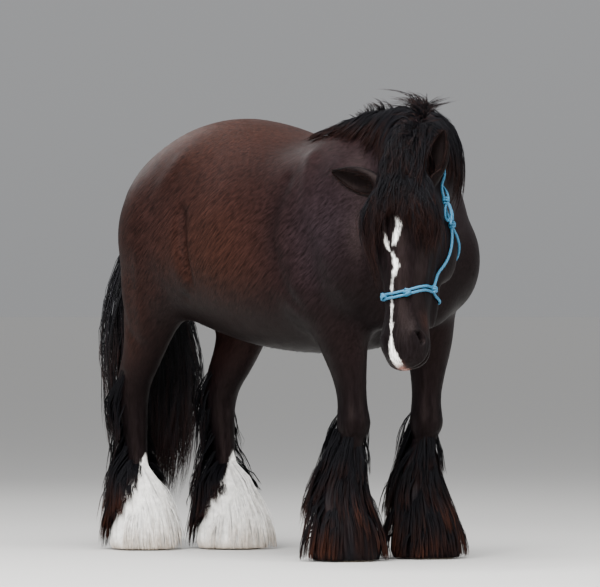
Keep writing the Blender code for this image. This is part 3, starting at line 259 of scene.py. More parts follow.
def ballShape(centre, radii, axes, count=20):
    # An ellipsoid as a tube that closes at both poles.
    fall = np.linspace(0.04, math.pi - 0.04, count)
    turn = np.arange(count) * 2 * math.pi / count
    rings = (
        centre + np.cos(fall)[:, None, None] * radii[2] * axes[2]
        + (np.sin(fall)[:, None] * np.cos(turn))[..., None] * radii[0] * axes[0]
        + (np.sin(fall)[:, None] * np.sin(turn))[..., None] * radii[1] * axes[1]
    )
    return tubeShape(rings)


def gathered(shapes):
    # Several shapes as one, with the later ones' numbers moved on.
    points, quads, tris, start = [], [], [], 0
    for some, fours, threes in shapes:
        points.append(some)
        quads.append(fours + start)
        tris.append(threes + start)
        start += len(some)
    return np.concatenate(points), np.concatenate(quads), np.concatenate(tris)


def meshFrom(name, points, quads, tris):
    mesh = bpy.data.meshes.new(name)
    mesh.vertices.add(len(points))
    mesh.vertices.foreach_set("co", np.ascontiguousarray(points, np.float32).ravel())
    corners = np.concatenate([np.asarray(quads).ravel(), np.asarray(tris).ravel()]).astype(np.int32)
    fours, threes = len(quads), len(tris)
    starts = np.concatenate([np.arange(fours) * 4, fours * 4 + np.arange(threes) * 3]).astype(np.int32)
    mesh.loops.add(len(corners))
    mesh.loops.foreach_set("vertex_index", corners)
    mesh.polygons.add(len(starts))
    mesh.polygons.foreach_set("loop_start", starts)
    mesh.update(calc_edges=True)
    mesh.validate()
    mesh.shade_smooth()
    return mesh


def objectFrom(name, mesh):
    thing = bpy.data.objects.new(name, mesh)
    bpy.context.scene.collection.objects.link(thing)
    return thing


def finished(name, mesh, material, slot, *replaced):
    # A piece that rides on the body, in place of the nodes that it replaces.
    mesh.materials.append(material)
    piece = objectFrom(name, mesh)
    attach(piece, "root")
    if replaced:
        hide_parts(*replaced)


def pointsOf(mesh):
    found = np.empty(len(mesh.vertices) * 3, np.float32)
    mesh.vertices.foreach_get("co", found)
    return found.reshape(-1, 3).astype(float)


def normalsOf(mesh):
    found = np.empty(len(mesh.vertices) * 3, np.float32)
    mesh.vertices.foreach_get("normal", found)
    return found.reshape(-1, 3).astype(float)


def edgesOf(mesh):
    found = np.empty(len(mesh.edges) * 2, np.int32)
    mesh.edges.foreach_get("vertices", found)
    return found.reshape(-1, 2)


def relaxed(points, edges, rounds, share):
    # Laplacian smoothing: each point moves by a share towards the mean of its neighbours.
    count = np.bincount(edges.ravel(), minlength=len(points))[:, None]
    share = np.reshape(share, (-1, 1))
    for _ in range(rounds):
        total = np.stack([
            np.bincount(edges[:, 0], points[edges[:, 1], k], len(points))
            + np.bincount(edges[:, 1], points[edges[:, 0], k], len(points))
            for k in range(3)
        ], axis=1)
        points = points + (total / np.maximum(count, 1) - points) * share
    return points


def setPoints(mesh, points):
    mesh.vertices.foreach_set("co", np.ascontiguousarray(points, np.float32).ravel())
    mesh.update()


def fleshShapes():
    # The trunk, neck, legs and skull as tubes, and the muscles and bones as balls that overlap them.
    shapes = [
        tubeShape(loftGrid(trunkRows, upward, 48, 0.03, 2.2)),
        tubeShape(loftGrid(neckRows, upward, 40, 0.02, 2.1)),
    ]
    shapes += [tubeShape(loftGrid(rows, ahead, 28, 0.015, 2.0)) for rows in legRows.values()]
    rows = smoothRows(skullRows, 0.012)
    middle = rows[:, 1] * 0.42 + rows[:, 2] * 0.58
    centres = onHead(np.stack([rows[:, 0], 0 * middle, middle], -1))
    sides = np.broadcast_to(headLeft, centres.shape)
    rises = np.broadcast_to(headOut, centres.shape)
    shapes.append(tubeShape(ringGrid(
        centres, sides, rises, rows[:, 3], rows[:, 1] - middle, middle - rows[:, 2], 32, 2.3
    )))
    body = [
        (-0.470, 0.165, 1.090, 0.230, 0.165, 0.260, 0), (-0.655, 0.115, 1.020, 0.120, 0.110, 0.260, 0.10),
        (-0.430, 0.190, 0.960, 0.150, 0.115, 0.180, -0.3), (0.450, 0.170, 1.090, 0.130, 0.110, 0.280, -0.35),
        (0.565, 0.175, 1.000, 0.155, 0.130, 0.190, 0), (0.390, 0.205, 0.900, 0.150, 0.100, 0.140, 0),
        (0.590, 0.095, 0.910, 0.125, 0.110, 0.150, 0),
    ]
    balls = [(f, s * l, u, a, b, c, p) for f, l, u, a, b, c, p in body for s in (1, -1)]
    balls += [
        (0.455, 0.220, 0.770, 0.095, 0.085, 0.150, 0), (0.480, -0.158, 0.770, 0.085, 0.075, 0.140, 0),
        (0.555, 0.190, 1.000, 0.150, 0.130, 0.190, 0), (0.610, 0, 1.040, 0.150, 0.170, 0.200, 0),
        (-0.745, 0, 1.232, 0.070, 0.050, 0.056, 0),
    ]
    for forward, left, up, a, b, c, pitch in balls:
        axes = [turnedAbout(way, -leftward, pitch) for way in (ahead, leftward, upward)]
        shapes.append(ballShape(place((forward, left, up)), (a, b, c), axes, 28))
    face = [(0.612, 0, -0.124, 0.034, 0.042, 0.026), (0.640, 0, -0.066, 0.030, 0.052, 0.036)]
    for s in (1, -1):
        face += [
            (0.215, s * 0.050, -0.185, 0.135, 0.046, 0.105), (0.360, s * 0.036, -0.165, 0.160, 0.026, 0.040),
            (0.500, s * 0.026, -0.118, 0.110, 0.028, 0.030), (0.195, s * 0.086, -0.022, 0.044, 0.030, 0.036),
            (0.175, s * 0.078, 0.004, 0.040, 0.026, 0.020), (0.320, s * 0.070, -0.062, 0.075, 0.016, 0.016),
            (0.572, s * 0.046, -0.040, 0.040, 0.026, 0.036), (0.070, s * 0.062, -0.060, 0.045, 0.036, 0.045),
        ]
    for along, left, out, a, b, c in face:
        shapes.append(ballShape(onHead((along, left, out)), (a, b, c), (headAlong, headLeft, headOut), 18))
    return shapes


skinSet = {"voxel": 0.0111, "rounds": 50, "muscle": 1.15, "headRadius": 0.22, "fineRadius": 0.20}


def nearHead(points, radius=0.24, soft=0.06):
    # 1 on the head, falling to 0 away from its axis.
    top, tip = onHead((0.05, 0, -0.1)), onHead((headSet["length"], 0, -0.08))
    way = tip - top
    t = np.clip((points - top) @ way / (way @ way), 0, 1)
    away = np.linalg.norm(points - (top + t[:, None] * way), axis=1)
    return np.clip((radius - away) / soft, 0, 1)


def softness(points):
    # How much the skin is smoothed: most on the body, little on the head and legs.
    leg = np.clip((0.75 - points[:, 2]) / 0.30, 0, 1)
    return np.clip(1 - 0.90 * nearHead(points) - 0.75 * leg, 0.08, 1)


def blob(places, centre, radii):
    # A soft ball: 1 at its centre, falling with the square of the distance over its radii.
    return np.exp(-np.sum(((places - centre) / radii) ** 2, axis=1))


def lineDistance(places, line):
    # Distance from points to a polyline, and the share of the way along it.
    line = np.asarray(line, float)
    best, share = np.full(len(places), 9.0), np.zeros(len(places))
    for n, (a, b) in enumerate(zip(line, line[1:])):
        way = b - a
        t = np.clip((places - a) @ way / (way @ way), 0, 1)
        away = np.linalg.norm(places - a - t[:, None] * way, axis=1)
        share = np.where(away < best, (n + t) / (len(line) - 1), share)
        best = np.minimum(best, away)
    return best, share


# Lines raised (+) or sunk (-) on the body: height, half width, then a path on each side. The sunk ones also
# get painted shade in the coat's tone.
muscleLines = [
    (0.006, 0.030, [(0.36, 0.20, 1.34), (0.42, 0.27, 1.20), (0.54, 0.29, 1.02)]),
    (-0.007, 0.022, [(0.30, 0.25, 1.26), (0.27, 0.31, 1.08), (0.32, 0.32, 0.92), (0.40, 0.31, 0.84)]),
    (-0.008, 0.020, [(0.26, 0.33, 0.86), (0.32, 0.32, 0.80), (0.40, 0.30, 0.76)]),
    (0.006, 0.035, [(0.36, 0.30, 1.04), (0.40, 0.31, 0.92)]),
    (-0.016, 0.018, [(-0.20, 0.31, 1.16), (-0.19, 0.33, 1.04), (-0.17, 0.33, 0.92), (-0.22, 0.31, 0.84)]),
    (0.004, 0.032, [(-0.25, 0.31, 1.10), (-0.245, 0.33, 1.02), (-0.23, 0.33, 0.92)]),
    (-0.015, 0.022, [(-0.24, 0.30, 0.86), (-0.30, 0.29, 0.78), (-0.36, 0.26, 0.72)]),
    (0.004, 0.035, [(-0.30, 0.27, 1.34), (-0.34, 0.29, 1.26)]),
    (-0.006, 0.020, [(-0.62, 0.26, 1.20), (-0.66, 0.25, 1.02), (-0.64, 0.24, 0.86), (-0.58, 0.23, 0.74)]),
    (0.005, 0.028, [(-0.46, 0.31, 1.02), (-0.50, 0.30, 0.86), (-0.52, 0.25, 0.74)]),
    (-0.006, 0.018, [(0.66, 0.10, 1.30), (0.80, 0.00, 1.20), (0.92, -0.12, 1.10)]),
]
middleLines = [
    (-0.010, 0.020, [(0.74, 0, 1.14), (0.735, 0, 1.00), (0.70, 0, 0.86), (0.62, 0, 0.72)]),
    (-0.006, 0.026, [(-0.72, 0, 1.34), (-0.50, 0, 1.46), (-0.30, 0, 1.49)]),
]


def muscled(points, normals):
    # Skin raised or sunk along each muscle line, falling with the square of the distance from it.
    places = unplaced(points)
    lift = np.zeros(len(points))
    for height, width, line in muscleLines:
        for side in (1, -1):
            path = np.array(line) * (1, side, 1)
            away, _ = lineDistance(places, path)
            lift += height * np.exp(-(away / width) ** 2 * 0.8)
    for height, width, line in middleLines:
        away, _ = lineDistance(places, line)
        lift += height * np.exp(-(away / width) ** 2)
    jointed(places, lift)
    return points + normals * (lift * skinSet["muscle"])[:, None]


# Bands round the legs: height of the middle, half height and how far they rise or sink.
# The cannon has the heights between which its groove begins, is whole and ends.
legSet = {
    "knee": (0.455, 0.035, 0.004), "underKnee": (0.405, 0.018, 0.004),
    "hock": (0.545, 0.045, 0.006), "overHock": (0.60, 0.05, 0.006),
    "cannon": (0.20, 0.26, 0.36, 0.42), "groove": 0.004, "radius": 0.05, "top": 0.62, "near": 0.09,
}


def band(up, middle, half):
    # 1 at the middle, falling with the square of the distance over the half height.
    return np.exp(-((up - middle) / half) ** 2)


def jointed(places, lift):
    # Adds the front of the knees, the points of the hocks and the grooves of the cannons to the lift.
    up = places[:, 2]
    for name, rows in legRows.items():
        rows = np.array(rows)[::-1]
        middles = np.stack([np.interp(up, rows[:, 2], rows[:, k]) for k in (0, 1, 2)], axis=1)
        around = places - middles
        near = np.exp(-(np.linalg.norm(around[:, :2], axis=1) / legSet["near"]) ** 4) * (up < legSet["top"])
        facing, lateral = around[:, 0] / legSet["radius"], around[:, 1] / legSet["radius"]
        if name.startswith("fore"):
            middle, half, rise = legSet["knee"]
            lift += near * band(up, middle, half) * rise * np.clip(facing, 0, 1)
            middle, half, rise = legSet["underKnee"]
            lift -= near * band(up, middle, half) * rise
        else:
            middle, half, rise = legSet["hock"]
            lift += near * band(up, middle, half) * rise * np.clip(-facing, 0, 1)
            middle, half, rise = legSet["overHock"]
            lift -= near * band(up, middle, half) * rise * band(facing, -0.5, 0.5)
        bottom, low, high, top = legSet["cannon"]
        cannon = smoothStep(up, bottom, low) * (1 - smoothStep(up, high, top))
        groove = band(facing, -0.35, 0.22) * np.clip(np.abs(lateral), 0, 1)
        lift -= near * cannon * legSet["groove"] * groove


# Bumps (+) and dents (-) on both sides of the head: height, then place and radii on the head
faceBumps = [
    (0.005, (0.300, 0.074, -0.058), (0.090, 0.030, 0.010)),     # cheek bone
    (-0.004, (0.330, 0.074, -0.092), (0.080, 0.030, 0.014)),
    (0.004, (0.150, 0.080, 0.010), (0.030, 0.030, 0.020)),      # brow
    (-0.005, (0.120, 0.070, -0.020), (0.030, 0.030, 0.026)),
    (0.002, (0.230, 0.040, 0.030), (0.070, 0.018, 0.020)),
    (-0.0025, (0.420, 0.034, 0.005), (0.090, 0.012, 0.020)),
    (0.004, (0.545, 0.062, -0.028), (0.034, 0.020, 0.012)),     # nostril and lips
    (0.004, (0.610, 0.060, -0.030), (0.018, 0.020, 0.016)),
    (0.003, (0.600, 0.066, -0.066), (0.030, 0.020, 0.010)),
    (0.003, (0.640, 0.026, -0.040), (0.020, 0.030, 0.020)),
]
nostrilSet = {
    "centre": (0.582, 0.073, -0.044), "down": unit((0.8, 0.0, -0.6)), "cross": (0.6, 0.0, 0.8), "comma": 10.0,
    "pit": (0.0195, 0.0105), "rim": (0.024, 0.0145), "raised": 0.0032, "deep": 0.020,
}


def headDetail(points, normals):
    # Lids, nostrils, lips, cheek bones and veins, as moves along the normals of the head.
    spots = headPlaces(points)
    along, left, out = spots.T
    mask = nearHead(points, 0.26, 0.05)
    lift = np.zeros(len(points))
    mirror = folded(spots)
    for height, centre, radii in faceBumps:
        lift += height * blob(mirror, centre, radii)
    # the nostril: a comma shaped pit with a raised rim
    plan = nostrilSet
    free = mirror - plan["centre"]
    down = free @ plan["down"]
    curve = free @ plan["cross"] - plan["comma"] * down**2
    long, wide = plan["pit"]
    pit = np.exp(-((down / long) ** 4) - (curve / wide) ** 4) * (mirror[:, 1] > 0.035)
    long, wide = plan["rim"]
    ring = np.sqrt((down / long) ** 2 + (curve / wide) ** 2)
    rim = np.exp(-((ring - 1.05) / 0.32) ** 2) * (mirror[:, 1] > 0.045)
    lift += rim * plan["raised"] - pit * plan["deep"]
    # the mouth line and the lips
    lips = -0.093 + 0.016 * (along - 0.585) / 0.11 - 1.2 * left**2
    span = smoothStep(along, 0.565, 0.585)
    lift -= span * np.exp(-((out - lips) / 0.0035) ** 2) * 0.0055
    lift += span * np.exp(-((out - lips - 0.012) / 0.008) ** 2) * 0.0022
    lift += span * np.exp(-((out - lips + 0.013) / 0.009) ** 2) * 0.0020
    lift -= np.exp(-((along - 0.600) / 0.02) ** 2 - ((out + 0.140) / 0.03) ** 2) * 0.002
    points = points + normals * (lift * mask)[:, None]
    return eyelids(points)


def eyelids(points):
    # Skin near each eye lies just over the ball, parts in an almond and has a fold above it.
    for side in (1, -1):
        centre = onHead(np.array(headSet["eye"]) * (1, side, 1))
        outward = unit(headLeft * side * 0.9 + headOut * 0.42)
        wide = headAlong * 0.96 - headOut * 0.25
        wide = unit(wide - outward * (wide @ outward))
        high = np.cross(outward, wide)
        high = high if high @ headOut > 0 else -high
        free = points - centre
        x, y, z = free @ wide, free @ high, free @ outward
        reach = np.sqrt(x**2 + y**2)
        radius = headSet["eyeRadius"]
        near = (1 - smoothStep(reach, 0.024, 0.042)) * (z > -0.005)
        almond = np.sqrt((x / 0.0195) ** 2 + ((y - 0.12 * x) / 0.0105) ** 2)
        shell = np.sqrt(np.maximum((radius + 0.0022) ** 2 - reach**2, 0))
        deep = np.sqrt(np.maximum((radius - 0.0050) ** 2 - reach**2, 0))
        rim = np.exp(-((almond - 1.12) / 0.16) ** 2) * 0.0016
        fold = np.exp(-((y - 0.0185 + 5.0 * x**2) / 0.003) ** 2) * (np.abs(x) < 0.024) * 0.0022
        target = lerp(deep, shell + rim - fold, smoothStep(almond, 0.90, 1.04))
        change = (target - z) * near
        points = points + outward * change[:, None]
    return points


def subdivided(mesh, chosen):
    # Splits every edge whose two ends are chosen.
    form = bmesh.new()
    form.from_mesh(mesh)
    form.verts.ensure_lookup_table()
    edges = [edge for edge in form.edges if chosen[edge.verts[0].index] and chosen[edge.verts[1].index]]
    bmesh.ops.subdivide_edges(form, edges=edges, cuts=1, use_grid_fill=True)
    form.to_mesh(mesh)
    form.free()
    mesh.update()


def skin():
    # The flesh shapes melted into one surface, smoothed, made finer on the head, then modelled.
    points, quads, tris = gathered(fleshShapes())
    rough = objectFrom("rough", meshFrom("rough", points, quads, tris))
    remesh = rough.modifiers.new("one skin", "REMESH")
    remesh.mode = "VOXEL"
    remesh.voxel_size = skinSet["voxel"]
    graph = bpy.context.evaluated_depsgraph_get()
    mesh = bpy.data.meshes.new_from_object(rough.evaluated_get(graph))
    bpy.data.objects.remove(rough)
    points = pointsOf(mesh)
    points = relaxed(points, edgesOf(mesh), skinSet["rounds"], 0.5 * softness(points))
    setPoints(mesh, points)
    for radius, finer in ((skinSet["headRadius"], headSpots), (skinSet["fineRadius"], fineSpots)):
        subdivided(mesh, finer(mesh))
        points = pointsOf(mesh)
        share = 0.5 * nearHead(points, radius + 0.02, 0.05)
        setPoints(mesh, relaxed(points, edgesOf(mesh), 3, share))
    points = pointsOf(mesh)
    points = muscled(points, normalsOf(mesh))
    setPoints(mesh, points)
    points = headDetail(points, normalsOf(mesh))
    setPoints(mesh, points)
    return mesh


def headSpots(mesh):
    return nearHead(pointsOf(mesh), skinSet["headRadius"], 0.0001) > 0.5


def fineSpots(mesh):
    # Where the head needs its smallest faces: eyes, nostrils and lips.
    spots = headPlaces(pointsOf(mesh))
    mirror = folded(spots)
    eye = np.linalg.norm(mirror - headSet["eye"], axis=1) < 0.055
    muzzle = (spots[:, 0] > 0.535) & (np.abs(spots[:, 2] + 0.07) < 0.12) & (np.abs(spots[:, 1]) < 0.13)
    return eye | (muzzle & (spots[:, 0] < 0.72))


skinMesh = skin()
stageDone("skin")
skinPoints, skinNormals = pointsOf(skinMesh), normalsOf(skinMesh)
skinTree = BVHTree.FromPolygons(
    skinPoints.tolist(), [list(face.vertices) for face in skinMesh.polygons]
)

# Colours, as linear light
tones = {
    "dark": (0.0028, 0.0021, 0.0025), "body": (0.0080, 0.0038, 0.0040), "warm": (0.030, 0.0112, 0.0072),
    # the purplish grey is painted sheen, on the shoulders and the right side of the neck
    "sheenGrey": (0.0125, 0.0085, 0.0105), "white": (0.88, 0.86, 0.82), "cream": (0.46, 0.34, 0.23),
    "tip": (0.075, 0.0230, 0.0110), "pink": (0.34, 0.16, 0.13), "muzzle": (0.0030, 0.0024, 0.0028),
    # the hair's black has a blue tint, which is painted sheen
    "hair": (0.0034, 0.0032, 0.0044),
}
tones = {name: np.array(tone) for name, tone in tones.items()}


def ripple(points, scale, seed=0.0):
    # Smooth noise between 0 and 1 from a few crossed sines.
    x, y, z = (points * scale + seed).T
    total = (
        np.sin(x * 1.7 + 1.3 * np.sin(y * 1.1 + z)) + np.sin(y * 2.1 + 1.7 * np.sin(z * 1.3 + x * 0.7))
        + np.sin(z * 1.9 + 1.1 * np.sin(x * 1.5 + y * 0.6))
    )
    return total / 6 + 0.5


blazeLines = [
    # along the face, left of its middle and half width
    [(0.187, 0.026, 0.008), (0.215, 0.030, 0.013), (0.245, 0.020, 0.012), (0.275, 0.010, 0.006)],
    [(0.226, -0.022, 0.004), (0.260, -0.022, 0.008), (0.300, -0.010, 0.007)],
    [
        (0.300, 0.000, 0.005), (0.325, 0.008, 0.009), (0.350, 0.011, 0.011), (0.375, 0.002, 0.007),
        (0.400, -0.008, 0.005), (0.440, -0.011, 0.0035), (0.500, -0.013, 0.0035), (0.570, -0.014, 0.005),
        (0.605, -0.020, 0.009), (0.635, -0.018, 0.016), (0.675, -0.010, 0.016),
    ],
]


def blazeShare(spots, points):
    # The broken blaze down the face: a patch and a streak on the forehead, a thin line, a snip.
    along, left, out = spots.T
    wobble = (ripple(spots * (0.12, 1.0, 0.4), 700) - 0.5) * 0.008 + (ripple(points, 60, 3.0) - 0.5) * 0.005
    best = np.full(len(points), 9.0)
    for line in blazeLines:
        rows = np.array(line)
        middle, half = np.interp(along, rows[:, 0], rows[:, 1]), np.interp(along, rows[:, 0], rows[:, 2])
        past = np.maximum(rows[0, 0] - along, along - rows[-1, 0])
        best = np.minimum(best, np.maximum(np.abs(left - middle) - half, past * 0.5))
    front = smoothStep(out, -0.095, -0.080)
    low = 1 - smoothStep(along, 0.652, 0.668)
    return smoothStep(-best + wobble, -0.002, 0.006) * front * low


# Patches of tone on both sides of the body: tone, share, then place and radii. The warm patches are the
# coat's reddish hair, on the barrel and the croup partly painted highlight; the purplish grey patch on the
# shoulder is painted sheen.
upperTones = [
    ("warm", 0.85, (-0.05, 0.33, 0.98), (0.30, 0.30, 0.26)),
    ("warm", 0.50, (-0.60, 0.22, 1.10), (0.20, 0.20, 0.30)),
    ("warm", 0.80, (-0.34, 0.12, 1.42), (0.38, 0.28, 0.18)),
    ("warm", 0.30, (-0.50, 0.24, 0.82), (0.14, 0.14, 0.14)),
    ("warm", 0.30, (0.46, 0.22, 0.72), (0.10, 0.10, 0.12)),
    ("sheenGrey", 0.80, (0.50, 0.24, 1.08), (0.20, 0.20, 0.26)),
]
# the dark patches on the chest front and the forearms are painted shade
lowerTones = [
    ("dark", 0.90, (0.66, 0.12, 0.92), (0.18, 0.26, 0.24)),
    ("dark", 0.90, (0.46, 0.22, 0.66), (0.16, 0.16, 0.20)),
    ("warm", 0.45, (-0.62, 0.22, 0.74), (0.12, 0.12, 0.13)),
]


def coatTone(points, normals):
    # The body's tone, with each patch, painted shade, painted highlight and sheen, and marking mixed in by
    # its own share.
    places = unplaced(points)
    spots = headPlaces(points)
    mirror = folded(places)
    tone = np.broadcast_to(tones["body"], points.shape).copy()

    def mixIn(word, share):
        nonlocal tone
        tone = lerp(tone, tones[word], np.clip(share, 0, 1)[:, None])

    for word, share, centre, radii in upperTones:
        mixIn(word, share * blob(mirror, centre, radii))
    # painted purplish sheen down the right side of the neck
    mixIn("sheenGrey", 0.80 * blob(places, (0.80, -0.10, 1.25), (0.26, 0.26, 0.26)))
    # painted shade under the belly
    mixIn("dark", 0.55 * (1 - smoothStep(places[:, 2], 0.66, 0.80)) * (np.abs(places[:, 0]) < 0.36))
    mixIn("dark", 0.92 * (1 - smoothStep(places[:, 2] + 0.05 * (ripple(points, 14) - 0.5), 0.52, 0.70)))
    # a reddish wash along the top of the back: partly the coat's red, partly painted highlight
    mixIn("warm", 0.3 * blob(places, (0.10, 0.0, 1.42), (0.34, 0.28, 0.20)))
    # painted shade in the sunk muscle lines and folds
    for height, width, line in muscleLines:
        if height < -0.005:
            away, _ = lineDistance(mirror, line)
            mixIn("dark", 0.45 * np.exp(-(away / width / 1.5) ** 2))
    for word, share, centre, radii in lowerTones:
        mixIn(word, share * blob(mirror, centre, radii))
    # painted shade on every part of the skin that faces down
    mixIn("dark", 0.8 * smoothStep(-normals[:, 2], 0.0, 0.7))
    onFace = nearHead(points, 0.20, 0.05)
    mixIn("dark", 0.85 * onFace)
    mixIn("muzzle", onFace * smoothStep(spots[:, 0], 0.46, 0.58))
    mixIn("warm", onFace * 0.35 * blob(folded(spots), (0.52, 0.07, -0.08), (0.04, 0.03, 0.03)))
    fromEye = np.linalg.norm(folded(spots) - headSet["eye"], axis=1)
    mixIn("dark", 0.8 * onFace * np.exp(-(fromEye / 0.034) ** 4))
    lipMiddle = np.exp(-((spots[:, 1] + 0.012) / 0.013) ** 2)
    mixIn("pink", onFace * smoothStep(spots[:, 0], 0.645, 0.660) * lipMiddle * 0.5)
    mixIn("white", blazeShare(spots, points) * (onFace > 0.01))
    mixIn("white", hindWhite(points, places))
    tone = tone * (0.80 + 0.40 * ripple(points, 7))[:, None]
    return np.clip(tone, 0, 1)


def whiteEdge(turn):
    # Height of the edge of the white round the leg; turn is 0 ahead and pi behind.
    away = np.abs((turn - 0.25 + math.pi) % (2 * math.pi) - math.pi)
    return 0.335 - 0.055 * away - 0.024 * away**2


def hindWhite(points, places):
    # White from the middle of the hind cannons down: highest ahead, lower round to the rear.
    share = np.zeros(len(points))
    for name in ("hindleg_left", "hindleg_right"):
        rows = np.array(legRows[name])[::-1]
        forward, left = (np.interp(places[:, 2], rows[:, 2], rows[:, k]) for k in (0, 1))
        side = np.sign(rows[0, 1])
        turn = np.arctan2(places[:, 1] - left, places[:, 0] - forward)
        edge = whiteEdge(turn) + 0.024 * (ripple(places * (1, 1, 0.25), 90) - 0.5)
        near = (np.abs(places[:, 0] - forward) < 0.22) * (np.sign(places[:, 1]) == side)
        share = np.maximum(share, near * (1 - smoothStep(places[:, 2], edge - 0.006, edge + 0.006)))
    return share


def faceOut(mesh):
    # Normals that face outwards.
    form = bmesh.new()
    form.from_mesh(mesh)
    bmesh.ops.recalc_face_normals(form, faces=form.faces)
    form.to_mesh(mesh)
    form.free()
    mesh.shade_smooth()


def setTone(mesh, colours, lie=1.0):
    # lie: 0 where the coat runs back along the body, 1 where it runs straight down.
    layer = mesh.color_attributes.new("tone", "FLOAT_COLOR", "POINT")
    full = np.ones((len(mesh.vertices), 4), np.float32)
    full[:, 3] = lie
    full[:, :3] = colours
    layer.data.foreach_set("color", full.ravel())


# Where a point of the skin lies on its unwrap: a cell for each body part and facing
partCells, cellMargin = 6, 0.06


def unwrapPlaces(points, normals):
    places = unplaced(points)
    fore, low = places[:, 0] > -0.05, places[:, 2] < 0.66
    part = np.where(low, 2 + 2 * (~fore) + (places[:, 1] < 0), 0)
    part = np.where((places[:, 0] > 0.62) & ~low, 1, part)
    part = np.where(nearHead(points, 0.20, 0.0001) > 0.5, 1, part)
    axis = np.argmax(np.abs(normals), axis=1)
    sign = np.take_along_axis(normals, axis[:, None], 1)[:, 0] > 0
    facing = axis * 2 + sign
    u = np.where(axis == 0, places[:, 0], places[:, 1])
    v = np.where(axis == 2, places[:, 0], places[:, 2])
    u = (u + 1.3) / 2.7
    v = np.where(axis == 2, (v + 1.3) / 2.7, v / 1.7)
    u, v = (cellMargin + np.clip(share, 0, 1) * (1 - 2 * cellMargin) for share in (u, v))
    return np.stack([(facing + u) / partCells, (part + v) / partCells], axis=1)


def setUnwrap(mesh, places):
    # places: one (u, v) for each corner of each face.
    layer = mesh.uv_layers.new(name="OFBake")
    layer.data.foreach_set("uv", np.ascontiguousarray(places, np.float32).ravel())


def cornersOf(mesh):
    found = np.empty(len(mesh.loops), np.int32)
    mesh.loops.foreach_get("vertex_index", found)
    return found


def node(tree, kind, where, **values):
    # A shader node with its place on the sheet, its input values and its settings.
    made = tree.nodes.new(kind)
    made.location = where
    for key, value in values.items():
        if key in made.inputs:
            made.inputs[key].default_value = value
        else:
            setattr(made, key, value)
    return made


def plainMaterial(name, colour, roughness):
    made = bpy.data.materials.new(name)
    made.use_nodes = True
    shader = made.node_tree.nodes["Principled BSDF"]
    shader.inputs["Base Color"].default_value = (*colour, 1)
    shader.inputs["Roughness"].default_value = roughness
    return made, made.node_tree, shader


def spanned(tree, value, where, reach, source=(0.0, 1.0)):
    # A value carried evenly from one range to another.
    made = node(tree, "ShaderNodeMapRange", where)
    for word, number in zip(("From Min", "From Max", "To Min", "To Max"), (*source, *reach)):
        made.inputs[word].default_value = number
    tree.links.new(value, made.inputs["Value"])
    return made.outputs["Result"]


def tinted(tree, shader, lift, where):
    # The base colour is the painted tone, scaled by a value.
    tone = node(tree, "ShaderNodeAttribute", (where[0] - 250, where[1] + 150), attribute_name="tone")
    tint = node(tree, "ShaderNodeVectorMath", where, operation="SCALE")
    tree.links.new(tone.outputs["Color"], tint.inputs[0])
    tree.links.new(lift, tint.inputs["Scale"])
    tree.links.new(tint.outputs["Vector"], shader.inputs["Base Color"])


def twoTone(tree, shader, value, low, high):
    # The base colour runs between two colours with a pattern's value.
    ramp = node(tree, "ShaderNodeValToRGB", (-450, 0))
    ramp.color_ramp.elements[0].color = (*low, 1)
    ramp.color_ramp.elements[1].color = (*high, 1)
    tree.links.new(value, ramp.inputs["Fac"])
    tree.links.new(ramp.outputs["Color"], shader.inputs["Base Color"])


def raised(tree, shader, value, strength, depth):
    # A pattern's value as fine relief.
    bump = node(tree, "ShaderNodeBump", (-250, -350), Strength=strength, Distance=depth)
    tree.links.new(value, bump.inputs["Height"])
    tree.links.new(bump.outputs["Normal"], shader.inputs["Normal"])


coatSet = {
    "rough": (0.40, 0.58), "shine": 0.085, "bump": 0.5, "depth": 0.0022, "contrast": (0.30, 1.95),
    "glint": (1.0, 0.70, 0.64),
    # streaks of hair for each metre across the body, along the hair and across it
    "body": (120, 22, 170), "legs": (150, 150, 20), "lean": math.radians(-41),
}


def coatMaterial():
    # Short glossy hair: the painted tone, broken by streaks along the hair that also raise the surface.
    made, tree, shader = plainMaterial("shortCoat", (0.1, 0.1, 0.1), 0.45)
    link = tree.links.new
    tone = node(tree, "ShaderNodeAttribute", (-1100, 400), attribute_name="tone")
    coords = node(tree, "ShaderNodeTexCoord", (-1500, 0))
    streaks = []
    for n, (word, lean) in enumerate((("body", coatSet["lean"]), ("legs", 0.0))):
        grain = node(tree, "ShaderNodeMapping", (-1300, -300 * n), vector_type="TEXTURE")
        grain.inputs["Rotation"].default_value = (lean, 0, 0)
        grain.inputs["Scale"].default_value = [1 / value for value in coatSet[word]]
        link(coords.outputs["Object"], grain.inputs["Vector"])
        noise = node(tree, "ShaderNodeTexNoise", (-1100, -300 * n), Scale=1.0, Detail=4.0, Roughness=0.62)
        link(grain.outputs["Vector"], noise.inputs["Vector"])
        streaks.append(noise)
    lie = node(tree, "ShaderNodeMix", (-850, 0))
    link(tone.outputs["Alpha"], lie.inputs["Factor"])
    link(streaks[0].outputs["Fac"], lie.inputs["A"])
    link(streaks[1].outputs["Fac"], lie.inputs["B"])
    broad = node(tree, "ShaderNodeTexNoise", (-850, -350), Scale=28.0, Detail=4.0, Roughness=0.55)
    link(coords.outputs["Object"], broad.inputs["Vector"])
    lift = spanned(tree, lie.outputs["Result"], (-650, 0), coatSet["contrast"], (0.3, 0.7))
    tinted(tree, shader, lift, (-450, 250))
    link(spanned(tree, broad.outputs["Fac"], (-450, -150), coatSet["rough"]), shader.inputs["Roughness"])
    raised(tree, shader, lie.outputs["Result"], coatSet["bump"], coatSet["depth"])
    shader.inputs["Specular IOR Level"].default_value = coatSet["shine"]
    shader.inputs["Specular Tint"].default_value = (*coatSet["glint"], 1)
    return made


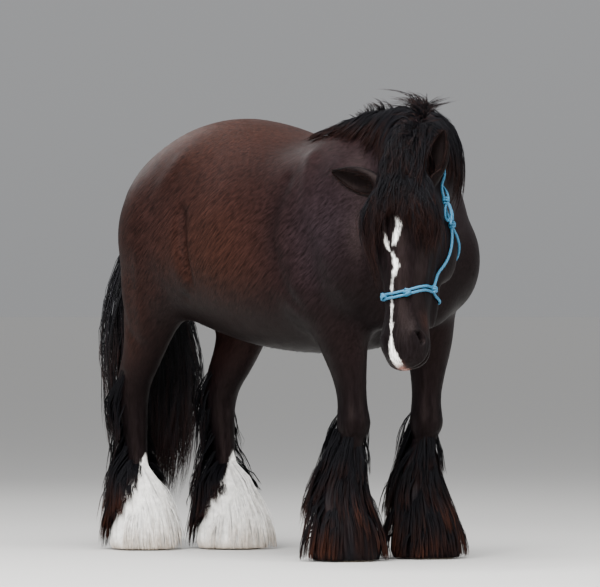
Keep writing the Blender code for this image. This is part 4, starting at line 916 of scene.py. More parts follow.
def hairMaterial(name, roughness, shine):
    # The painted tone, a little lighter and darker in soft patches.
    made, tree, shader = plainMaterial(name, (0.1, 0.1, 0.1), roughness)
    coords = node(tree, "ShaderNodeTexCoord", (-1000, -100))
    noise = node(tree, "ShaderNodeTexNoise", (-800, -100), Scale=60.0, Detail=2.0)
    tree.links.new(coords.outputs["Object"], noise.inputs["Vector"])
    tinted(tree, shader, spanned(tree, noise.outputs["Fac"], (-600, -100), (0.6, 1.4)), (-350, 150))
    shader.inputs["Specular IOR Level"].default_value = shine
    return made


shortCoat = coatMaterial()
longHair = hairMaterial("longHair", 0.58, 0.08)
tailShine = hairMaterial("tailHair", 0.50, 0.22)

downward = np.maximum(1 - smoothStep(skinPoints[:, 2], 0.55, 0.75), nearHead(skinPoints, 0.22, 0.05))
setTone(skinMesh, coatTone(skinPoints, skinNormals), downward)
corners = cornersOf(skinMesh)
faceNormals = np.empty(len(skinMesh.polygons) * 3, np.float32)
skinMesh.polygons.foreach_get("normal", faceNormals)
faceSizes = np.empty(len(skinMesh.polygons), np.int32)
skinMesh.polygons.foreach_get("loop_total", faceSizes)
print("skin triangles", int((faceSizes - 2).sum()))
faceOfCorner = np.repeat(np.arange(len(faceSizes)), faceSizes)
cornerNormals = faceNormals.reshape(-1, 3)[faceOfCorner].astype(float)
setUnwrap(skinMesh, unwrapPlaces(skinPoints[corners], cornerNormals))
skinMesh.shade_smooth()
fleshNodes = ["torso", "neck", "head"] + list(legRows) + [f"lower_{name}" for name in legRows]
finished("skin", skinMesh, shortCoat, "coat", *fleshNodes)
stageDone("coat")


def nearest(points):
    # The closest points of the skin and their normals.
    found = [skinTree.find_nearest(Vector(p)) for p in points.tolist()]
    return np.array([hit[0] for hit in found]), np.array([hit[1] for hit in found])


def draped(roots, ways, lengths, steps, clear, far, fall):
    # Paths of locks that leave their roots, are drawn down and stay near the skin.
    here, way = np.array(roots, float), unit(ways)
    lengths = np.reshape(lengths, (-1, 1))
    clear, far = np.reshape(clear, (-1, 1)), np.reshape(far, (-1, 1))
    paths, outs = [here], []
    for _ in range(steps):
        way = unit(way - upward * fall)
        there = here + way * lengths / steps
        spot, normal = nearest(there)
        gap = dots(there - spot, normal)
        away = np.linalg.norm(there - spot, axis=1, keepdims=True)
        there = np.where(gap < clear, spot + normal * clear, there)
        pulled = spot + (there - spot) * far / np.maximum(away, 1e-6)
        there = np.where((gap >= clear) & (away > far), pulled, there)
        way = unit(there - here)
        here = there
        paths.append(here)
    paths = np.stack(paths, axis=1)
    for n in range(steps + 1):
        outs.append(nearest(paths[:, n])[1])
    return paths, np.stack(outs, axis=1)


def resampled(paths, count):
    # The same paths with another number of points, by cubic interpolation.
    steps = paths.shape[1]
    at = np.linspace(0, steps - 1, count)
    i = np.clip(at.astype(int), 0, steps - 2)
    t = (at - i)[None, :, None]
    slopes = np.gradient(paths, axis=1)
    a, b, ma, mb = paths[:, i], paths[:, i + 1], slopes[:, i], slopes[:, i + 1]
    return (
        a * (2 * t**3 - 3 * t**2 + 1) + ma * (t**3 - 2 * t**2 + t)
        + b * (3 * t**2 - 2 * t**3) + mb * (t**3 - t**2)
    )


def strandsOf(paths, outs, plan, curl=0.004, flat=0.45, trim=0.25, rooted=True):
    # Three levels: each lock's path carries bundles that part towards the tip, each bundle its hairs.
    locks, bundles, hairs, points = len(paths), plan["bundles"], plan["hairs"], plan["points"]
    paths, outs = resampled(paths, points), unit(resampled(outs, points))
    ways = unit(np.gradient(paths, axis=1))
    sides = unit(np.cross(ways, outs))
    outs = np.cross(sides, ways)
    t = np.linspace(0, 1, points)[None, None, :, None]
    shape = (locks, bundles, 1, 1)
    across, over = dice.normal(0, 0.5, shape), np.abs(dice.normal(0, 0.5, shape)) * flat
    lifted = smoothStep(t, -0.02, 0.35)
    spread = lerp(plan["root"], plan["tip"], t**0.8)
    phase, beat = dice.uniform(0, 6.28, shape), dice.uniform(3, 8, shape)
    wave = curl * t * (np.sin(beat * t * 2 + phase) + 0.5 * np.sin(beat * 0.6 * t + phase * 3))
    middle = (
        paths[:, None] + sides[:, None] * (across * spread + wave)
        + outs[:, None] * (over * spread * lifted + 0.4 * curl * t * np.sin(beat * t * 1.5 - phase))
    ).reshape(locks * bundles, 1, points, 3)
    sides, outs = (np.repeat(rows, bundles, axis=0)[:, None] for rows in (sides, outs))
    shape = (locks * bundles, hairs, 1, 1)
    across, over = dice.normal(0, 0.5, shape), dice.normal(0, 0.5, shape) * flat
    stray = 1 + 3.5 * (dice.uniform(0, 1, shape) < 0.05)
    close = plan["clump"] * (1.0 - 0.72 * t**1.2)
    own = 0.5 * curl * t**1.3 * stray * np.sin(dice.uniform(4, 11, shape) * t + dice.uniform(0, 6.28, shape))
    strands = middle + sides * (across * close + own) + outs * (np.abs(over) * close * lifted + 0.3 * own)
    strands = strands.reshape(-1, points, 3)
    if rooted:
        spot, normal = nearest(strands[:, 0])
        t = np.linspace(0, 1, points)[None, :, None]
        strands = strands + (spot - normal * rootSink - strands[:, 0])[:, None] * (1 - t) ** 2
    cut = 1 - trim * np.repeat(dice.uniform(0, 1, locks * bundles) ** 1.5, hairs)
    cut = cut * (1 - 0.4 * trim * dice.uniform(0, 1, len(strands)))
    strands = shortened(strands, cut)
    return strands, np.repeat(outs[:, 0], hairs, axis=0)


def shortened(strands, share):
    # Each strand cut to a share of its length, with the same number of points.
    points = strands.shape[1]
    at = np.linspace(0, 1, points)[None] * share[:, None] * (points - 1)
    i = np.clip(at.astype(int), 0, points - 2)
    t = (at - i)[..., None]
    rows = np.arange(len(strands))[:, None]
    return strands[rows, i] * (1 - t) + strands[rows, i + 1] * t


tuftPatch = 0.003       # size of a tuft's patch on the unwrap
rootSink = 0.0025       # how far a root lies under the skin
strandTurns = (-0.5236, 3.6652, 1.5708)     # a strand's three edges, as turns from its side


def hairMesh(name, strands, outs, widths, colours, thin=0.5):
    # Closed three sided tapered strands, with their tones and their patch on the unwrap.
    count, points = strands.shape[:2]
    ways = unit(np.gradient(strands, axis=1))
    sides = unit(np.cross(ways, outs))
    rises = np.cross(sides, ways)
    t = np.linspace(0, 1, points)
    taper = np.minimum(1, 0.45 + 2.6 * t) * (1 - t**2.2 * 0.86)
    half = np.reshape(widths, (-1, 1, 1)) * 0.5 * taper[None, :, None]
    rings = np.stack([
        strands + sides * half * math.cos(a) + rises * half * thin * math.sin(a) for a in strandTurns
    ], axis=2)[:, :-1]
    body = rings.reshape(count, -1, 3)
    verts = np.concatenate([body, strands[:, -1:]], axis=1)
    per = verts.shape[1]
    i, j = np.meshgrid(np.arange(points - 2), np.arange(3), indexing="ij")
    k = (j + 1) % 3
    quads = np.stack([i * 3 + j, i * 3 + k, (i + 1) * 3 + k, (i + 1) * 3 + j], -1).reshape(-1, 4)
    last = (points - 2) * 3
    tris = np.array([
        (2, 1, 0), (last, last + 1, per - 1), (last + 1, last + 2, per - 1), (last + 2, last, per - 1),
    ])
    offset = (np.arange(count) * per)[:, None, None]
    quads = (quads[None] + offset).reshape(-1, 4)
    tris = (tris[None] + offset).reshape(-1, 3)
    mesh = meshFrom(name, verts.reshape(-1, 3), quads, tris)
    share = np.concatenate([np.repeat(t[:-1], 3), [1.0]])
    tops = colours.shape[1] - 1
    colours = colours[:, np.clip((share * tops).round().astype(int), 0, tops)]
    setTone(mesh, colours.reshape(-1, 3))
    spot, normal = nearest(strands[:, 0])
    centre = unwrapPlaces(spot, normal)
    across = np.concatenate([np.tile([-1.0, 1.0, 0.0], points - 1), [0.0]]) * tuftPatch / 2
    patch = centre[:, None] + np.stack([across, (share - 0.5) * tuftPatch], -1)[None]
    setUnwrap(mesh, patch.reshape(-1, 2)[cornersOf(mesh)])
    return mesh


pieceLimit = 190000


def hairPiece(name, strands, outs, widths, colours, slot, replaced=(), thin=0.5, material=None, mass=0.0):
    # Strands as one piece, or as several where there are too many triangles for one.
    # mass: share of the shading that follows the surface under the hair, not each strand.
    each = 6 * (strands.shape[1] - 2) + 4
    parts = max(1, math.ceil(len(strands) * each / pieceLimit))
    for n in range(parts):
        pick = slice(len(strands) * n // parts, len(strands) * (n + 1) // parts)
        label = name if parts == 1 else f"{name}_{n + 1}"
        mesh = hairMesh(label, strands[pick], outs[pick], widths[pick], colours[pick], thin)
        if mass:
            middles = np.repeat(strands[pick], 3, axis=1)[:, :-2]
            own = unit(pointsOf(mesh).reshape(middles.shape) - middles + 1e-9)
            flat = unit(np.repeat(outs[pick], 3, axis=1)[:, :-2])
            normals = unit(lerp(own, flat, mass)).reshape(-1, 3)
            mesh.normals_split_custom_set_from_vertices(normals.tolist())
        finished(label, mesh, material or longHair, slot, *replaced)
        print(label, "strands", len(strands[pick]), "triangles", len(strands[pick]) * each)


def strandTones(strands, word, tipWord, tipShare, vary=0.35, start=0.55):
    # One tone for each point: the hair's own, running to another at the tips.
    count, points = strands.shape[:2]
    t = np.linspace(0, 1, points)[None, :, None]
    own = dice.uniform(1 - vary, 1 + vary, (count, 1, 1))
    tip = smoothStep(t, start, 1.0) * tipShare * dice.uniform(0.3, 1.0, (count, 1, 1))
    return np.clip(lerp(tones[word], tones[tipWord], tip) * own, 0, 1)


earPlan = {
    "rows": [
        (-0.030, 0.022, 0.020, 0.022), (0.000, 0.031, 0.026, 0.028), (0.040, 0.039, 0.026, 0.030),
        (0.080, 0.041, 0.022, 0.026), (0.120, 0.033, 0.016, 0.020), (0.155, 0.018, 0.009, 0.012),
        (0.178, 0.004, 0.002, 0.003),
    ],
    "around": 44, "thick": 0.0035, "broad": {1: 1.0, -1: 1.14}, "long": {1: 0.93, -1: 1.08},
    "hairs": 420, "hairLength": (0.010, 0.024), "hairWidth": 0.0016,
}


def earWays(side):
    # Base, direction of the tip, direction across and direction of the opening.
    if side > 0:
        way = unit(headOut * 0.05 - headAlong + headLeft * 0.38)
        opening = unit(headOut * 0.85 + headLeft * 0.5)
    else:
        way = unit(headOut * 0.12 - headAlong * 0.47 - headLeft * 0.95)
        opening = unit(headOut * 0.8 + headAlong * 0.6)
    across = unit(np.cross(opening, way))
    base = onHead((0.030, 0.084, -0.072) if side > 0 else (0.026, -0.098, -0.075))
    return base, way, across, np.cross(way, across)


def offEars(strands):
    # True for strands that keep out of both ears.
    keep = np.ones(len(strands), bool)
    rows = np.array(earPlan["rows"])
    for side in (1, -1):
        base, way, across, opening = earWays(side)
        free = strands - base
        along = free @ way / earPlan["long"][side]
        wide = np.interp(along, rows[:, 0], rows[:, 1]) + 0.003
        deep = np.interp(along, rows[:, 0], rows[:, 3]) + 0.003
        inside = ((free @ across) / wide) ** 2 + ((free @ opening) / deep) ** 2 < 1
        inside &= (along > 0.004) & (along < 0.180)
        keep &= ~inside.any(axis=1)
    return keep


def combed(name, paths, outs, plan, tips, *bends):
    # Locks along their paths, without the strands that would cross an ear.
    strands, outs = strandsOf(paths, outs, plan, plan["curl"], *bends)
    keep = offEars(strands)
    strands, outs = strands[keep], outs[keep]
    widths = plan["width"] * dice.uniform(0.65, 1.3, len(strands))
    hairPiece(name, strands, outs, widths, strandTones(strands, "hair", "tip", tips), "coat")


crestRows = [(0.14, 0, 1.10, 0, 0, 0), (0.24, 0, 1.115, 0, 0, 0)] + neckRows
crestPath = smoothRows(crestRows, 0.005)


def crest(shares):
    # The top of the neck from the withers (0) to behind the ears (1) with its own directions.
    centres = place(crestPath[:, :3])
    at = np.clip(shares, 0, 1) * (len(centres) - 1)
    i = np.clip(at.astype(int), 0, len(centres) - 2)
    middle = lerp(centres[i], centres[i + 1], (at - i)[:, None])
    ways = unit(centres[np.minimum(i + 6, len(centres) - 1)] - centres[np.maximum(i - 6, 0)])
    sides = unit(np.cross(np.broadcast_to(upward, ways.shape), ways))
    rises = np.cross(ways, sides)
    hits = [skinTree.ray_cast(Vector(p), Vector(d))[0] for p, d in zip(middle + rises * 0.5, -rises)]
    return np.array([hit if hit else m for hit, m in zip(hits, middle)]), ways, sides, rises


fullness = ((0.0, 0.12, 0.25, 0.50, 0.72, 0.93, 1.0), (0.20, 0.34, 0.56, 0.82, 1.0, 0.80, 0.55))


def maneFullness(shares):
    # How full the mane is along the crest: thin at the withers, fullest above the cheek.
    return np.interp(shares, *fullness)


maneSet = {
    "left": {
        "locks": 130, "bundles": 4, "hairs": 8, "points": 7, "width": 0.0029, "length": 0.43,
        "root": 0.034, "tip": 0.026, "clump": 0.011, "lift": (0.003, 0.011), "lean": (-0.1, 0.3),
        "shares": (0.14, 0.98), "fall": 0.7, "curl": 0.007, "poll": 0.42,
    },
    "right": {
        "locks": 150, "bundles": 4, "hairs": 6, "points": 6, "width": 0.0028, "length": 0.27,
        "root": 0.034, "tip": 0.024, "clump": 0.011, "lift": (0.003, 0.016), "lean": (-0.35, 0.35),
        "shares": (0.14, 1.0), "fall": 0.45, "curl": 0.006, "poll": 1.0,
    },
    "crest": {
        "locks": 130, "bundles": 3, "hairs": 6, "points": 5, "width": 0.0026, "length": 0.095,
        "root": 0.030, "tip": 0.026, "clump": 0.010, "curl": 0.003,
    },
    "poll": {
        "locks": 84, "bundles": 4, "hairs": 5, "points": 7, "width": 0.0026, "length": 0.42,
        "root": 0.036, "tip": 0.034, "clump": 0.012, "curl": 0.014,
    },
}


def maneSide(word, side):
    # Locks that leave the crest on one side, rise a little and fall over the neck.
    plan = maneSet[word]
    count = plan["locks"]
    shares = np.sort(dice.uniform(*plan["shares"], count))
    tops, ways, sides, rises = crest(shares)
    full = maneFullness(shares)[:, None]
    roots = tops + sides * side * dice.uniform(-0.004, 0.024, (count, 1)) - rises * 0.002
    lean = ways * dice.uniform(*plan["lean"], (count, 1))
    start = sides * side + rises * dice.uniform(0.25, 0.8, (count, 1)) + lean
    short = lerp(1.0, plan["poll"], smoothStep(shares, 0.74, 0.90))[:, None]
    length = plan["length"] * full * short * dice.uniform(0.75, 1.12, (count, 1))
    low, high = plan["lift"]
    clear = low + (high - low) * dice.uniform(0, 1, (count, 1)) * full * short
    paths, outs = draped(roots, start, length, 7, clear, clear + 0.006, plan["fall"])
    combed(f"mane_{word}", paths, outs, plan, 0.35)


maneSide("left", 1)
maneSide("right", -1)


def maneCrest():
    # Stiff hair that stands along the crest, and locks that run over the poll.
    plan = maneSet["crest"]
    count = plan["locks"]
    shares = 0.16 + 0.84 * np.sort(dice.uniform(0.0, 1.0, count) ** 0.8)
    tops, ways, sides, rises = crest(shares)
    full = maneFullness(shares)[:, None]
    turn = dice.normal(0, 0.75, (count, 1))
    steps = np.linspace(0, 1, 5)[None, :, None]
    length = plan["length"] * full * dice.uniform(0.55, 1.1, (count, 1))
    paths = (
        tops[:, None] - rises[:, None] * 0.003
        + rises[:, None] * (length[:, None] * (steps - 0.42 * steps**2))
        + sides[:, None] * (turn * length)[:, None] * steps**1.6
        + ways[:, None] * (length * dice.uniform(-0.1, 0.5, (count, 1)))[:, None] * steps**1.5
    )
    outs = np.repeat(sides[:, None], 5, axis=1)
    strands, outs = strandsOf(paths, outs, plan, plan["curl"], 1.0, 0.5, False)
    widths = plan["width"] * dice.uniform(0.6, 1.2, len(strands))
    hairPiece("mane_crest", strands, outs, widths, strandTones(strands, "hair", "tip", 0.3), "coat")
    plan = maneSet["poll"]
    count = plan["locks"]
    shares = dice.uniform(0.82, 1.0, count)
    tops, ways, sides, rises = crest(shares)
    across = dice.uniform(-1, 1, (count, 1))
    roots = tops + sides * across * 0.045 - rises * 0.004
    spots, _ = nearest(roots)
    start = ways + sides * across * 0.25 + rises * dice.uniform(0.1, 0.5, (count, 1))
    length = plan["length"] * dice.uniform(0.35, 1.1, (count, 1)) * (0.55 + 0.45 * np.abs(across))
    clear = 0.010 + 0.012 * dice.uniform(0, 1, (count, 1))
    paths, outs = draped(spots, start, length, 8, clear, clear + 0.010, 0.15)
    combed("mane_poll", paths, outs, plan, 0.3)


maneCrest()
stageDone("mane")

forelockSet = {
    "locks": 190, "bundles": 4, "hairs": 5, "points": 8, "width": 0.0025, "root": 0.030, "tip": 0.028,
    "clump": 0.009, "curl": 0.015,
    # length of the hair by how far to the left its root is
    "reach": ((-1, -0.6, -0.3, 0.0, 0.3, 0.7, 1), (0.38, 0.45, 0.34, 0.12, 0.24, 0.35, 0.34)),
}


def forelock():
    # Locks from behind the poll that fan out and fall down the forehead.
    plan = forelockSet
    count = plan["locks"]
    across = np.append(dice.uniform(-1, 1, count - 50), dice.uniform(0.35, 0.95, 50))[:, None]
    layer = dice.uniform(0, 1, (count, 1))
    wide = across * (0.058 + 0.014 * (across > 0))
    begin = onHead(np.concatenate([-0.020 + 0.055 * layer, wide, np.full((count, 1), 0.3)], axis=1))
    hits = [skinTree.ray_cast(Vector(p), Vector(-headOut))[0] for p in begin]
    roots = np.array(hits) + headOut * 0.001
    fan = across * (0.50 + 0.36 * (across > 0)) + dice.normal(0, 0.07, (count, 1))
    ways = headAlong + headLeft * fan + headOut * dice.uniform(0.12, 0.40, (count, 1))
    length = np.interp(across, *plan["reach"]) * (1.1 - 0.6 * dice.uniform(0, 1, (count, 1)) ** 1.6)
    clear = 0.003 + 0.014 * layer
    paths, outs = draped(roots, ways, length, 8, clear, clear + 0.010, 0.06)
    combed("forelock", paths, outs, plan, 0.4, 0.45, 0.45)


forelock()
stageDone("forelock")

featherSet = {
    "locks": 138, "bundles": 4, "hairs": 5, "points": 6, "width": 0.0028, "root": 0.022, "tip": 0.022,
    "clump": 0.009, "curl": 0.004,
    # share of the reach at the floor that the hair stands out at each height
    "profile": ((0.0, 0.067, 0.20, 0.30, 0.40, 0.50), (1.0, 0.95, 0.72, 0.54, 0.42, 0.40)),
    "reach": {"fore": (0.116, 0.184), "hind": (0.126, 0.172)},
    "spread": {"foreleg_left": 1.0, "foreleg_right": 1.0, "hindleg_left": 1.08, "hindleg_right": 0.98},
    "core": {"around": 120, "rows": 36, "top": {"fore": 0.40, "hind": 0.31}, "share": 0.66},
}
rearSet = {
    "locks": 108, "bundles": 3, "hairs": 5, "points": 6, "width": 0.0028, "root": 0.022, "tip": 0.020,
    "clump": 0.009, "curl": 0.010,
}


def flare(name, up, turn):
    # Middle of the leg at a height, its radius in a direction and the hair's; turn is 0 ahead and pi behind.
    kind = name[:4]
    rows = np.array(legRows[name])[::-1]
    forward, left, wide, front, back = (np.interp(up, rows[:, 2], rows[:, k]) for k in (0, 1, 3, 4, 5))
    deep = np.where(np.cos(turn) > 0, front, back)
    radius = 1 / np.sqrt((np.cos(turn) / deep) ** 2 + (np.sin(turn) / wide) ** 2)
    foot = rows[0, :2]
    fallen = smoothStep(0.30 - up, 0.0, 0.30)
    forward, left = lerp(forward, foot[0], fallen), lerp(left, foot[1], fallen)
    front, back = featherSet["reach"][kind]
    reach = front + (back - front) * (0.5 - 0.5 * np.cos(turn)) ** 1.3
    outer = reach * np.interp(up, *featherSet["profile"]) * featherSet["spread"][name]
    outer = np.maximum(outer, radius + 0.008 + 0.030 * np.clip(-np.cos(turn), 0, 1))
    return forward, left, radius, outer


def envelope(name, begin, ends, turn, steps, stand):
    # Paths down the outside of the feather, from the skin out to its outer surface.
    t = np.linspace(0, 1, steps)[None]
    turn = turn[:, None]
    up = begin[:, None] + (ends - begin)[:, None] * t
    forward, left, radius, outer = flare(name, up, turn)
    out = lerp(radius, radius + (outer - radius) * stand[:, None], smoothStep(t, 0.0, 0.36))
    places = np.stack([forward + np.cos(turn) * out, left + np.sin(turn) * out, up], -1)
    ways = np.stack([np.sin(turn), -np.cos(turn), 0 * turn], axis=-1)
    return place(places), np.repeat(ways, steps, axis=1)


def featherCore(name):
    # The dense inside of the feather: a fluted shell a little within the outer hair.
    plan = featherSet["core"]
    top = plan["top"][name[:4]]
    turn = np.arange(plan["around"])[None] * 2 * math.pi / plan["around"]
    up = np.linspace(top, 0.005, plan["rows"])[:, None]
    forward, left, radius, outer = flare(name, up, turn + 0 * up)
    grown = smoothStep(top - up, 0.0, 0.09)
    flute = 0.030 * np.sin(turn * 23 + 2 * np.sin(up * 20))
    flute = flute + 0.035 * np.sin(turn * 13 + 3 * np.sin(up * 12 + turn))
    out = lerp(radius - 0.007, radius + (outer - radius) * plan["share"], grown) * (1 + flute * grown)
    out = out * (1 - 0.10 * smoothStep(0.03 - up, 0.0, 0.03))
    places = np.stack([forward + np.cos(turn) * out, left + np.sin(turn) * out, up + 0 * turn], -1)
    points, quads, tris = tubeShape(place(places))
    mesh = meshFrom(f"feather_core_{name}", points, quads, tris)
    faceOut(mesh)
    dark = lerp(tones["hair"], tones["tip"], (0.10 * ripple(points * (1, 1, 0.2), 60))[:, None])
    white = lerp(tones["white"], tones["cream"], smoothStep(0.05 - points[:, 2], 0.0, 0.06)[:, None] * 0.7)
    white = white * (0.90 + 0.16 * ripple(points * (1, 1, 0.15), 160))[:, None]
    share = hindWhite(points, unplaced(points))
    setTone(mesh, np.clip(lerp(dark, white, share[:, None]), 0, 1))
    setUnwrap(mesh, unwrapPlaces(points, normalsOf(mesh))[cornersOf(mesh)])
    finished(f"feather_core_{name}", mesh, longHair, "coat")


def cannonLocks(name):
    # Hair that falls from the cannon, flares over the hoof and ends on the floor, and which of it is white.
    fore = name.startswith("fore")
    plan = featherSet
    count = plan["locks"]
    turn = dice.uniform(0, 2 * math.pi, count)
    behind = 0.5 - 0.5 * np.cos(turn)
    top = (0.41 if fore else 0.315) + 0.04 * behind * fore
    begin = 0.085 + (top - 0.085) * dice.uniform(0, 1, count) ** (0.8 if fore else 0.5)
    length = np.minimum(dice.uniform(0.16, 0.33, count), 0.06 + 0.9 * (0.47 - begin) + 0.10 * behind)
    ends = np.maximum(begin - np.maximum(length, 0.08), dice.uniform(-0.012, 0.002, count))
    pale = (begin < whiteEdge(turn) + dice.uniform(-0.008, 0.008, count)) & (not fore)
    if not fore:
        # black hair hangs only a little over the white, and none hangs from the front
        over = np.maximum(ends, whiteEdge(turn) - dice.uniform(0.005, 0.06, count))
        ends = np.where(pale, ends, np.minimum(over, begin - 0.05))
        keep = pale | (np.cos(turn - 0.25) < 0.55)
        turn, begin, ends, pale = turn[keep], begin[keep], ends[keep], pale[keep]
    paths, outs = envelope(name, begin, ends, turn, 8, dice.uniform(0.76, 1.03, len(turn)))
    strands, outs = strandsOf(paths, outs, plan, plan["curl"], 0.4, 0.08)
    return strands, outs, np.repeat(pale, plan["bundles"] * plan["hairs"])


def rearLocks(name):
    # Black hair that hangs behind the leg, from the knee or the hock down.
    fore = name.startswith("fore")
    plan = rearSet
    count = plan["locks"]
    high = 0.50 if fore else 0.63
    turn = math.pi + np.clip(dice.normal(0, 0.55 if fore else 0.8, count), -1.35, 1.35)
    begin = high - (high - 0.22) * dice.uniform(0, 1, count) ** 0.9
    ends = np.maximum(begin - dice.uniform(0.14, 0.30, count), dice.uniform(0.05, 0.15, count))
    if not fore:
        ends = np.minimum(np.maximum(ends, whiteEdge(turn) - dice.uniform(0.0, 0.06, count)), begin - 0.06)
    paths, outs = envelope(name, begin, ends, turn, 8, dice.uniform(0.75, 1.18, count))
    return strandsOf(paths, outs, plan, plan["curl"], 0.6, 0.3)


def featherTones(strands, white):
    # Black running to brown in patches near the floor, or white running to cream.
    patch = smoothStep(ripple(strands[:, -1] * (1, 1, 0.6), 22, 5.0), 0.48, 0.74)
    low = (smoothStep(0.20 - strands[:, -1, 2], 0.0, 0.12) * (0.20 + 0.80 * patch))[:, None, None]
    brown = strandTones(strands, "hair", "tip", 1.0, 0.35, 0.40)
    dark = lerp(strandTones(strands, "hair", "tip", 0.2), brown, low)
    fair = strandTones(strands, "white", "cream", 0.4, 0.12, 0.50)
    stain = smoothStep(0.12 - strands[..., 2:], 0.0, 0.13) * dice.uniform(0.3, 1.0, (len(strands), 1, 1))
    return np.where(white[:, None, None], lerp(fair, tones["cream"], stain * 0.85), dark)


def feather(name):
    strands, outs, white = cannonLocks(name)
    more, moreOuts = rearLocks(name)
    white = np.append(white, np.zeros(len(more), bool))
    strands, outs = np.concatenate([strands, more]), np.concatenate([outs, moreOuts])
    strands[..., 2] = np.maximum(strands[..., 2], 0.001 + 0.003 * dice.uniform(0, 1, (len(strands), 1)))
    widths = featherSet["width"] * dice.uniform(0.65, 1.3, len(strands))
    colours = featherTones(strands, white)
    for share, word in ((white, "white"), (~white, "dark")):
        if share.any():
            label, soft = f"feather_{word}_{name}", 0.5 if word == "white" else 0.35
            hairPiece(label, strands[share], outs[share], widths[share], colours[share], word, mass=soft)


for name in legRows:
    featherCore(name)
    feather(name)
stageDone("feathers")

tailSet = {
    "locks": 190, "bundles": 4, "hairs": 5, "points": 8, "width": 0.0034, "root": 0.024, "tip": 0.034,
    "clump": 0.012, "curl": 0.020,
}
tailRows = np.array([
    # up, forward, left, half width, half depth
    (0.080, -0.850, 0.046, 0.060, 0.030), (0.300, -0.852, 0.046, 0.150, 0.046),
    (0.550, -0.850, 0.040, 0.190, 0.056), (0.800, -0.846, 0.015, 0.175, 0.060),
    (1.000, -0.838, -0.008, 0.125, 0.056), (1.120, -0.822, -0.012, 0.085, 0.050),
    (1.200, -0.806, -0.006, 0.064, 0.046), (1.275, -0.768, 0.000, 0.046, 0.036),
])


def tail():
    # Locks that fall from the dock inside an envelope of ellipses, with a slow sway.
    plan = tailSet
    count = plan["locks"]
    turn = dice.uniform(0, 2 * math.pi, count)[:, None]
    deep = np.sqrt(dice.uniform(0.10, 1.0, count))[:, None]
    begin = dice.uniform(0.84, 1.268, count)[:, None]
    drop = dice.uniform(0.72, 1.14, count)[:, None] * (1 - 0.14 * np.abs(np.cos(turn)))
    drop = np.minimum(drop, begin - dice.uniform(0.075, 0.16, (count, 1)))
    t = np.linspace(0, 1, 13)[None]
    up = begin - drop * t
    forward, left, wide, depth = (np.interp(up, tailRows[:, 0], tailRows[:, k]) for k in range(1, 5))
    reach = np.minimum(1.0, 0.30 + 1.9 * t) * deep
    sway = 0.020 * t * np.sin(7 * t + dice.uniform(0, 6.28, (count, 1)))
    places = np.stack([
        forward + depth * np.sin(turn) * reach, left + wide * np.cos(turn) * reach + sway, up
    ], -1)
    paths = place(places)
    ways = np.concatenate([np.cos(turn) * 0.35, -np.sin(turn), 0 * turn], axis=1)
    outs = np.repeat(unit(ways)[:, None], 13, axis=1)
    strands, outs = strandsOf(paths, outs, plan, plan["curl"], 0.7, 0.3, False)
    widths = plan["width"] * dice.uniform(0.65, 1.3, len(strands))
    # the hair's tone lifted 1.8 times: painted sheen on the black tail
    colours = np.clip(strandTones(strands, "hair", "tip", 0.25, 0.7) * 1.8, 0, 1)
    hairPiece("tail_hair", strands, outs, widths, colours, "dark", ["tail"], material=tailShine)


tail()
stageDone("tail")

furSet = {"tufts": 8600, "length": (0.012, 0.026), "width": 0.0013, "lift": 0.0019}


def furFlow(points):
    # The lie of the coat: back and down the body, down the legs, down the face.
    places = unplaced(points)
    way = np.tile(-ahead * 0.75 - upward * 0.65, (len(points), 1))
    legs = (1 - smoothStep(places[:, 2], 0.60, 0.80))[:, None]
    way = lerp(way, -upward - ahead * 0.15, legs)
    head = nearHead(points, 0.22, 0.05)[:, None]
    return unit(lerp(way, headAlong, head))


def scattered(count, weight):
    # Random points on the skin, denser where the weight is high.
    mesh = skinMesh
    mesh.calc_loop_triangles()
    tri = np.empty(len(mesh.loop_triangles) * 3, np.int32)
    mesh.loop_triangles.foreach_get("vertices", tri)
    tri = tri.reshape(-1, 3)
    a, b, c = (skinPoints[tri[:, k]] for k in range(3))
    areas = np.linalg.norm(np.cross(b - a, c - a), axis=1) * weight[tri].mean(1)
    chosen = np.searchsorted(np.cumsum(areas) / areas.sum(), dice.uniform(0, 1, count))
    u, v = dice.uniform(0, 1, (2, count, 1))
    flip = u + v > 1
    u, v = np.where(flip, 1 - u, u), np.where(flip, 1 - v, v)
    spots = a[chosen] + (b - a)[chosen] * u + (c - a)[chosen] * v
    normals = unit(skinNormals[tri[chosen]].mean(1))
    return spots, normals


def fur():
    # Short tufts that lie along the coat, most where the form turns away.
    places = unplaced(skinPoints)
    spots = headPlaces(skinPoints)
    head = nearHead(skinPoints, 0.2, 0.04)
    underside = np.clip(-skinNormals[:, 2], 0, 1)
    legs = 1 - smoothStep(places[:, 2], 0.60, 0.72)
    weight = 0.45 + 2.2 * underside + 2.2 * legs + 2.0 * head * (spots[:, 2] < -0.12)
    weight *= (places[:, 2] > 0.30) * (1 - head * smoothStep(spots[:, 0], 0.5, 0.55))
    roots, normals = scattered(furSet["tufts"], weight)
    ways = unit(furFlow(roots) + dice.normal(0, 0.13, roots.shape))
    ways = unit(ways - normals * dots(ways, normals) + normals * 0.06)
    low, high = furSet["length"]
    lengths = dice.uniform(low, high, (len(roots), 1)) * (1 - 0.45 * nearHead(roots, 0.2, 0.04)[:, None])
    t = np.linspace(0, 1, 4)[None, :, None]
    strands = (
        (roots - normals * 0.0006)[:, None] + ways[:, None] * lengths[:, None] * t
        + normals[:, None] * furSet["lift"] * (t - 0.75 * t**2)
    )
    outs = np.repeat(normals[:, None], 4, axis=1)
    widths = furSet["width"] * dice.uniform(0.6, 1.3, len(roots))
    colours = coatTone(roots, normals)[:, None] * dice.uniform(0.9, 1.15, (len(roots), 1, 1))
    colours = np.repeat(np.clip(colours, 0, 1), 4, axis=1)
    hairPiece("short_tufts", strands, outs, widths, colours, "coat", (), 0.25, shortCoat, 1.0)


fur()
stageDone("tufts")


